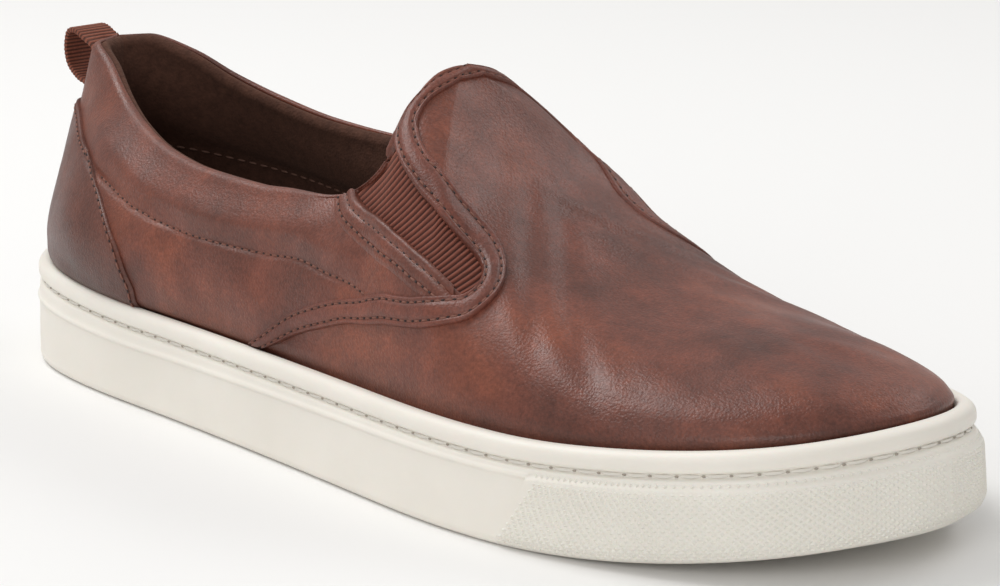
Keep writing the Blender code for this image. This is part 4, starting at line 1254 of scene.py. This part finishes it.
def bumper_spot(signed, rise):
    """Point of the bumper at a height above the ground."""
    top = wall_height(EDGE(np.array([signed]))[:, 0])
    heights = BUMPER_PATH[:, 0] * top + BUMPER_PATH[:, 1]
    out, lean, bumper = (np.full(1, np.interp(rise, heights, BUMPER_PATH[:, k])) for k in (2, 3, 4))
    none = np.zeros(1)
    row = (none, np.full(1, rise), out, lean, none, bumper, none, none, none)
    return sole_side(np.array([signed]), *row)[0]


def build_bumper_texture():
    """Small pyramids in staggered rows on the toe bumper, from the ground to the stitched groove."""
    points, faces = [], []
    low = 0.0014
    rows = int((WALL_HEIGHT - 0.0072 - low) / PYRAMID_ROW)
    start = BUMPER_EDGE + 0.004
    count = int((1.0 - start) * EDGE.length / PYRAMID_PITCH)
    step = (1.0 - start) / count
    for side in (-1, 1):
        for k in range(rows + 1):
            shares = start + (np.arange(count) + (0.5 if k % 2 else 0.0)) * step
            for share in shares[shares < 0.9995]:
                high = float(wall_height(EDGE(np.array([side * share]))[0, 0])) - 0.0072
                rise = low + (high - low) * k / rows
                corner = np.array([
                    bumper_spot(side * min(share + ds * step, 0.99999), rise + dz * PYRAMID_ROW)
                    for ds, dz in ((-0.5, 0.0), (0.0, -1.0), (0.5, 0.0), (0.0, 1.0))])
                flat = EDGE.normal(np.array([side * share]))[0]
                out = np.array([flat[0], flat[1], 0.05])
                first = len(points)
                points += list(corner - out * 0.00020) + [corner.mean(axis=0) + out * PYRAMID_HEIGHT]
                faces += [(first + a, first + (a + 1) % 4, first + 4) for a in range(4)]
                faces.append((first + 3, first + 2, first + 1, first))
    return piece_from("bumper_texture", np.array(points), faces, merge=0.0000001, smooth=20.0)


def build_sole_stitches():
    """Long stitches in the groove below the lip of the cup, with grey spots between them: painted shade in
    the stitch holes.
    """
    share = np.linspace(1e-4, 0.9999, 500)
    routes = []
    for signed in (-share, share[::-1]):
        spot = EDGE(signed, 0.8 * toe_lean(signed) + 0.0007)
        x = EDGE(signed)[:, 0]
        z = ground(x) + wall_height(x) - 0.0052
        flat = EDGE.normal(signed)
        routes.append((np.column_stack([spot, z]), np.column_stack([flat, np.zeros(len(flat))])))
    thread = stitches("sole_stitches", routes, SOLE_STITCH_PITCH, 0.0056, 0.0009, 0.9, 0.7)
    # grey spots at the ends of the stitches: painted shade in the stitch holes
    hole_shade = stitches("sole_stitch_hole_shade", routes, SOLE_STITCH_PITCH, 0.0009, 0.0005, 0.8, 0.0, start=0.0)
    return thread, hole_shade


# ---- materials ----


def node_of(tree, kind, **values):
    node = tree.nodes.new(kind)
    for key, value in values.items():
        if key in node.inputs:
            node.inputs[key].default_value = value
        else:
            setattr(node, key, value)
    return node


def new_material(name, colour, roughness):
    material = bpy.data.materials.new(name)
    material.use_nodes = True
    tree = material.node_tree
    shader = tree.nodes["Principled BSDF"]
    shader.inputs["Base Color"].default_value = (*colour, 1.0)
    shader.inputs["Roughness"].default_value = roughness
    return material, tree, shader


def colour_ramp(tree, source, stops):
    ramp = tree.nodes.new("ShaderNodeValToRGB")
    while len(ramp.color_ramp.elements) < len(stops):
        ramp.color_ramp.elements.new(0.5)
    for element, (position, colour) in zip(ramp.color_ramp.elements, stops):
        element.position = position
        element.color = (*colour, 1.0)
    tree.links.new(source, ramp.inputs["Fac"])
    return ramp.outputs["Color"]


def bump_chain(tree, shader, layers):
    """Bumps over each other, each from a height output with its strength and depth."""
    normal = None
    for height, strength, distance in layers:
        bump = node_of(tree, "ShaderNodeBump", Strength=strength, Distance=distance)
        tree.links.new(height, bump.inputs["Height"])
        if normal:
            tree.links.new(normal, bump.inputs["Normal"])
        normal = bump.outputs["Normal"]
    tree.links.new(normal, shader.inputs["Normal"])


def noise(tree, coords, scale, detail=3.0, rough=0.5):
    node = node_of(tree, "ShaderNodeTexNoise", Scale=scale, Detail=detail, Roughness=rough)
    tree.links.new(coords, node.inputs["Vector"])
    return node.outputs["Fac"]


def mix(tree, factor, a, b, blend="MIX"):
    node = tree.nodes.new("ShaderNodeMix")
    node.data_type = "RGBA"
    node.blend_type = blend
    for socket, value in ((node.inputs[0], factor), (node.inputs[6], a), (node.inputs[7], b)):
        if isinstance(value, (int, float)):
            socket.default_value = value
        elif isinstance(value, tuple):
            socket.default_value = (*value, 1.0)
        else:
            tree.links.new(value, socket)
    return node.outputs[2]


def leather_material(name, dark, middle, warm, roughness):
    """Waxed leather: cloudy colour, fine pebbled grain, darker by the painted shade."""
    material, tree, shader = new_material(name, middle, roughness)
    coords = tree.nodes.new("ShaderNodeTexCoord").outputs["Object"]
    patches = colour_ramp(tree, noise(tree, coords, 26.0, 5.0, 0.6),
                          ((0.34, dark), (0.50, middle), (0.68, warm)))
    cloud = colour_ramp(tree, noise(tree, coords, 150.0, 6.0, 0.65),
                        ((0.3, (0.80,) * 3), (0.7, (1.16,) * 3)))
    colour = mix(tree, 1.0, patches, cloud, "MULTIPLY")
    fine = colour_ramp(tree, noise(tree, coords, 1100.0, 4.0, 0.7),
                       ((0.32, (0.72,) * 3), (0.68, (1.22,) * 3)))
    colour = mix(tree, 1.0, colour, fine, "MULTIPLY")
    shade = tree.nodes.new("ShaderNodeAttribute")
    shade.attribute_name = "shade"
    colour = mix(tree, 1.0, colour, shade.outputs["Color"], "MULTIPLY")
    tree.links.new(colour, shader.inputs["Base Color"])
    gloss = tree.nodes.new("ShaderNodeMapRange")
    gloss.inputs["From Min"].default_value = 0.3
    gloss.inputs["From Max"].default_value = 0.7
    gloss.inputs["To Min"].default_value = roughness - 0.07
    gloss.inputs["To Max"].default_value = roughness + 0.10
    tree.links.new(noise(tree, coords, 60.0, 5.0, 0.6), gloss.inputs["Value"])
    tree.links.new(gloss.outputs["Result"], shader.inputs["Roughness"])
    shader.inputs["Specular IOR Level"].default_value = 0.42
    pebble = node_of(tree, "ShaderNodeTexVoronoi", feature="SMOOTH_F1", Scale=1700.0)
    tree.links.new(coords, pebble.inputs["Vector"])
    bump_chain(tree, shader, (
        (noise(tree, coords, 110.0, 3.0), 0.25, 0.0006),
        (pebble.outputs["Distance"], 0.50, 0.0002),
        (noise(tree, coords, 3200.0, 3.0, 0.6), 0.50, 0.00012),
    ))
    return material


def textile_material(name, colour, light, pitch, roughness=0.9):
    material, tree, shader = new_material(name, colour, roughness)
    coords = tree.nodes.new("ShaderNodeTexCoord").outputs["Object"]
    fac = noise(tree, coords, 400.0, 5.0, 0.7)
    tree.links.new(colour_ramp(tree, fac, ((0.3, colour), (0.75, light))), shader.inputs["Base Color"])
    weave = node_of(tree, "ShaderNodeTexVoronoi", Scale=1.0 / pitch)
    tree.links.new(coords, weave.inputs["Vector"])
    bump_chain(tree, shader, ((weave.outputs["Distance"], 0.6, pitch * 0.3),
                              (noise(tree, coords, 3000.0, 2.0), 0.3, 0.0001)))
    shader.inputs["Sheen Weight"].default_value = 0.08
    shader.inputs["Sheen Roughness"].default_value = 0.5
    shader.inputs["Sheen Tint"].default_value = (0.9, 0.55, 0.4, 1.0)
    shader.inputs["Specular IOR Level"].default_value = 0.2
    return material


def webbing_material(name, colour, light, pitch):
    """Painted shade between the ribs and a painted highlight on their crests, from the piece's own UV."""
    material, tree, shader = new_material(name, colour, 0.75)
    uv = tree.nodes.new("ShaderNodeTexCoord").outputs["UV"]
    split = tree.nodes.new("ShaderNodeSeparateXYZ")
    tree.links.new(uv, split.inputs["Vector"])
    turn = node_of(tree, "ShaderNodeMath", operation="MULTIPLY")
    turn.inputs[1].default_value = 2.0 * math.pi / pitch
    tree.links.new(split.outputs["X"], turn.inputs[0])
    wave = node_of(tree, "ShaderNodeMath", operation="COSINE")
    tree.links.new(turn.outputs[0], wave.inputs[0])
    spread = tree.nodes.new("ShaderNodeMapRange")
    spread.inputs["From Min"].default_value = -1.0
    tree.links.new(wave.outputs[0], spread.inputs["Value"])
    # rib troughs get painted shade, rib crests a painted highlight
    dark = tuple(c * 0.35 for c in colour)
    ribs = colour_ramp(tree, spread.outputs["Result"], ((0.0, dark), (0.45, colour), (1.0, light)))
    threads = noise(tree, uv, 1500.0, 3.0, 0.7)
    fibre = colour_ramp(tree, threads, ((0.3, (0.6,) * 3), (0.7, (1.25,) * 3)))
    tree.links.new(mix(tree, 0.7, ribs, fibre, "MULTIPLY"), shader.inputs["Base Color"])
    bump_chain(tree, shader, ((threads, 0.5, 0.00015),))
    shader.inputs["Sheen Weight"].default_value = 0.1
    shader.inputs["Sheen Tint"].default_value = (1.0, 0.6, 0.45, 1.0)
    shader.inputs["Specular IOR Level"].default_value = 0.3
    return material


def rubber_material():
    material, tree, shader = new_material("off_white_rubber", (0.79, 0.75, 0.68), 0.5)
    coords = tree.nodes.new("ShaderNodeTexCoord").outputs["Object"]
    tint = colour_ramp(tree, noise(tree, coords, 40.0, 4.0),
                       ((0.3, (0.77, 0.73, 0.66)), (0.7, (0.81, 0.77, 0.70))))
    tree.links.new(tint, shader.inputs["Base Color"])
    bump_chain(tree, shader, ((noise(tree, coords, 900.0, 4.0), 0.15, 0.0002),))
    shader.inputs["Subsurface Weight"].default_value = 0.05
    shader.inputs["Subsurface Scale"].default_value = 0.004
    return material


def thread_material(name, colour):
    material, tree, shader = new_material(name, colour, 0.7)
    coords = tree.nodes.new("ShaderNodeTexCoord").outputs["Object"]
    bump_chain(tree, shader, ((noise(tree, coords, 4000.0, 2.0), 0.5, 0.0001),))
    return material


def shade_attribute(obj):
    """Painted shade: darker where the leather meets the sole, and towards the heel."""
    mesh = obj.data
    layer = mesh.color_attributes.new(name="shade", type="FLOAT_COLOR", domain="POINT")
    co = np.array([v.co for v in mesh.vertices]) - (HEEL_X, MIDDLE_Y, 0.0)
    z_lip = ground(co[:, 0]) + wall_height(co[:, 0])
    low = 1.0 - 0.35 * np.exp(-np.maximum(co[:, 2] - z_lip, 0.0) / 0.006)
    heel = 1.0 - 0.18 * (1.0 - ease(0.02, 0.10, co[:, 0]))
    tone = low * heel
    colour = np.ones((len(co), 4), np.float32)
    colour[:, :3] = tone[:, None]
    layer.data.foreach_set("color", colour.ravel())


# ---- the whole shoe ----

LEATHER = leather_material("mottled_leather", (0.098, 0.032, 0.021), (0.158, 0.047, 0.029),
                           (0.235, 0.066, 0.034), 0.38)
EDGE_LEATHER = leather_material("edge_leather", (0.105, 0.034, 0.023), (0.152, 0.044, 0.028),
                                (0.200, 0.056, 0.032), 0.40)
DARK_LEATHER = leather_material("heel_leather", (0.085, 0.032, 0.022), (0.125, 0.041, 0.027),
                                (0.175, 0.053, 0.031), 0.38)
LINING = textile_material("lining_textile", (0.055, 0.024, 0.016), (0.105, 0.046, 0.030), 0.0007)
INSOLE = textile_material("insole_textile", (0.036, 0.016, 0.010), (0.068, 0.030, 0.019), 0.0009)
# second colour of the elastic and the webbing: painted highlight on the rib crests
ELASTIC = webbing_material("ribbed_elastic", (0.135, 0.036, 0.022), (0.21, 0.062, 0.038), RIB_PITCH)
WEBBING = webbing_material("ribbed_webbing", (0.15, 0.042, 0.024), (0.24, 0.072, 0.040), LOOP_RIB_PITCH)
RUBBER = rubber_material()
BROWN_THREAD = thread_material("brown_thread", (0.19, 0.075, 0.05))
# near-black colour: painted shade in the needle holes of the leather
LEATHER_HOLE_SHADE = thread_material("painted_needle_hole_shade", (0.026, 0.010, 0.008))
LINING_THREAD = thread_material("lining_thread", (0.16, 0.08, 0.055))
PALE_THREAD = thread_material("pale_thread", (0.70, 0.67, 0.61))
# grey colour: painted shade in the stitch holes of the sole
SOLE_HOLE_SHADE = thread_material("painted_stitch_hole_shade", (0.36, 0.32, 0.27))

dress(build_leather(), LEATHER, "upper")
dress(build_lining(), LINING)
dress(build_trim(), EDGE_LEATHER, "vamp_trim")
dress(build_counter(), DARK_LEATHER, "heel_counter")
outer_gore, inner_gore = build_gores()
dress(outer_gore, ELASTIC, "gore_outer")
dress(inner_gore, ELASTIC, "gore_inner")
for hem in build_hems():
    dress(hem, LEATHER)
dress(build_insole(), INSOLE, "insole")
dress(build_loop(), WEBBING, "heel_loop")
thread, hole_shade = build_leather_stitches()
dress(thread, BROWN_THREAD)
dress(hole_shade, LEATHER_HOLE_SHADE)
dress(build_lining_stitches(), LINING_THREAD)
dress(build_sole(), RUBBER, "cupsole")
dress(build_bumper_texture(), RUBBER)
thread, hole_shade = build_sole_stitches()
dress(thread, PALE_THREAD)
dress(hole_shade, SOLE_HOLE_SHADE)


# ---- floor, light and camera ----


def build_stage():
    deselect()
    bpy.ops.mesh.primitive_plane_add(size=8.0, location=(0.0, 0.0, 0.0))
    floor = bpy.context.object
    floor.name = "floor"
    material, _, shader = new_material("pale_floor", (0.84, 0.835, 0.825), 0.8)
    shader.inputs["Specular IOR Level"].default_value = 0.2
    floor.data.materials.append(material)
    world = bpy.data.worlds.new("studio")
    bpy.context.scene.world = world
    world.use_nodes = True
    sky = world.node_tree.nodes["Background"]
    sky.inputs["Color"].default_value = (1.0, 0.995, 0.985, 1.0)
    sky.inputs["Strength"].default_value = 0.50


def soft_light(name, place_at, aim, size, power):
    data = bpy.data.lights.new(name, "AREA")
    data.shape = "RECTANGLE"
    data.size, data.size_y = size
    data.energy = power
    lamp = bpy.data.objects.new(name, data)
    bpy.context.scene.collection.objects.link(lamp)
    back = np.array(place_at, float) - np.array(aim, float)
    lamp.matrix_world = looking(place_at, back, 0.0)
    return lamp


def looking(eye, back, roll):
    """World matrix of something that looks from eye along minus back, with the ground level."""
    back = np.array(back, float) / np.linalg.norm(back)
    right = np.cross((0.0, 0.0, 1.0), back)
    right /= np.linalg.norm(right)
    up = np.cross(back, right)
    turn = math.radians(roll)
    right, up = (math.cos(turn) * right + math.sin(turn) * up,
                 math.cos(turn) * up - math.sin(turn) * right)
    return Matrix([[right[k], up[k], back[k], eye[k]] for k in range(3)] + [[0.0, 0.0, 0.0, 1.0]])


def build_camera():
    data = bpy.data.cameras.new("camera")
    data.sensor_width = 36.0
    data.lens = CAMERA_LENS
    data.clip_start = 0.01
    camera = bpy.data.objects.new("camera", data)
    bpy.context.scene.collection.objects.link(camera)
    azimuth, elevation = math.radians(CAMERA_AZIMUTH), math.radians(CAMERA_ELEVATION)
    back = np.array([math.sin(azimuth) * math.cos(elevation),
                     -math.cos(azimuth) * math.cos(elevation), math.sin(elevation)])
    eye = place(CAMERA_TARGET) + back * CAMERA_DISTANCE
    camera.matrix_world = looking(eye, back, CAMERA_ROLL)
    bpy.context.scene.camera = camera


build_stage()
soft_light("key", (-0.75, -0.25, 1.3), (0.0, 0.0, 0.04), (0.8, 0.7), 12.5)
soft_light("front", (0.7, -1.2, 0.7), (0.05, 0.0, 0.03), (0.7, 0.6), 6.0)
soft_light("rim", (0.3, 1.0, 1.0), (0.0, 0.0, 0.05), (1.2, 0.4), 4.0)
build_camera()
bpy.context.scene.view_settings.view_transform = "Standard"
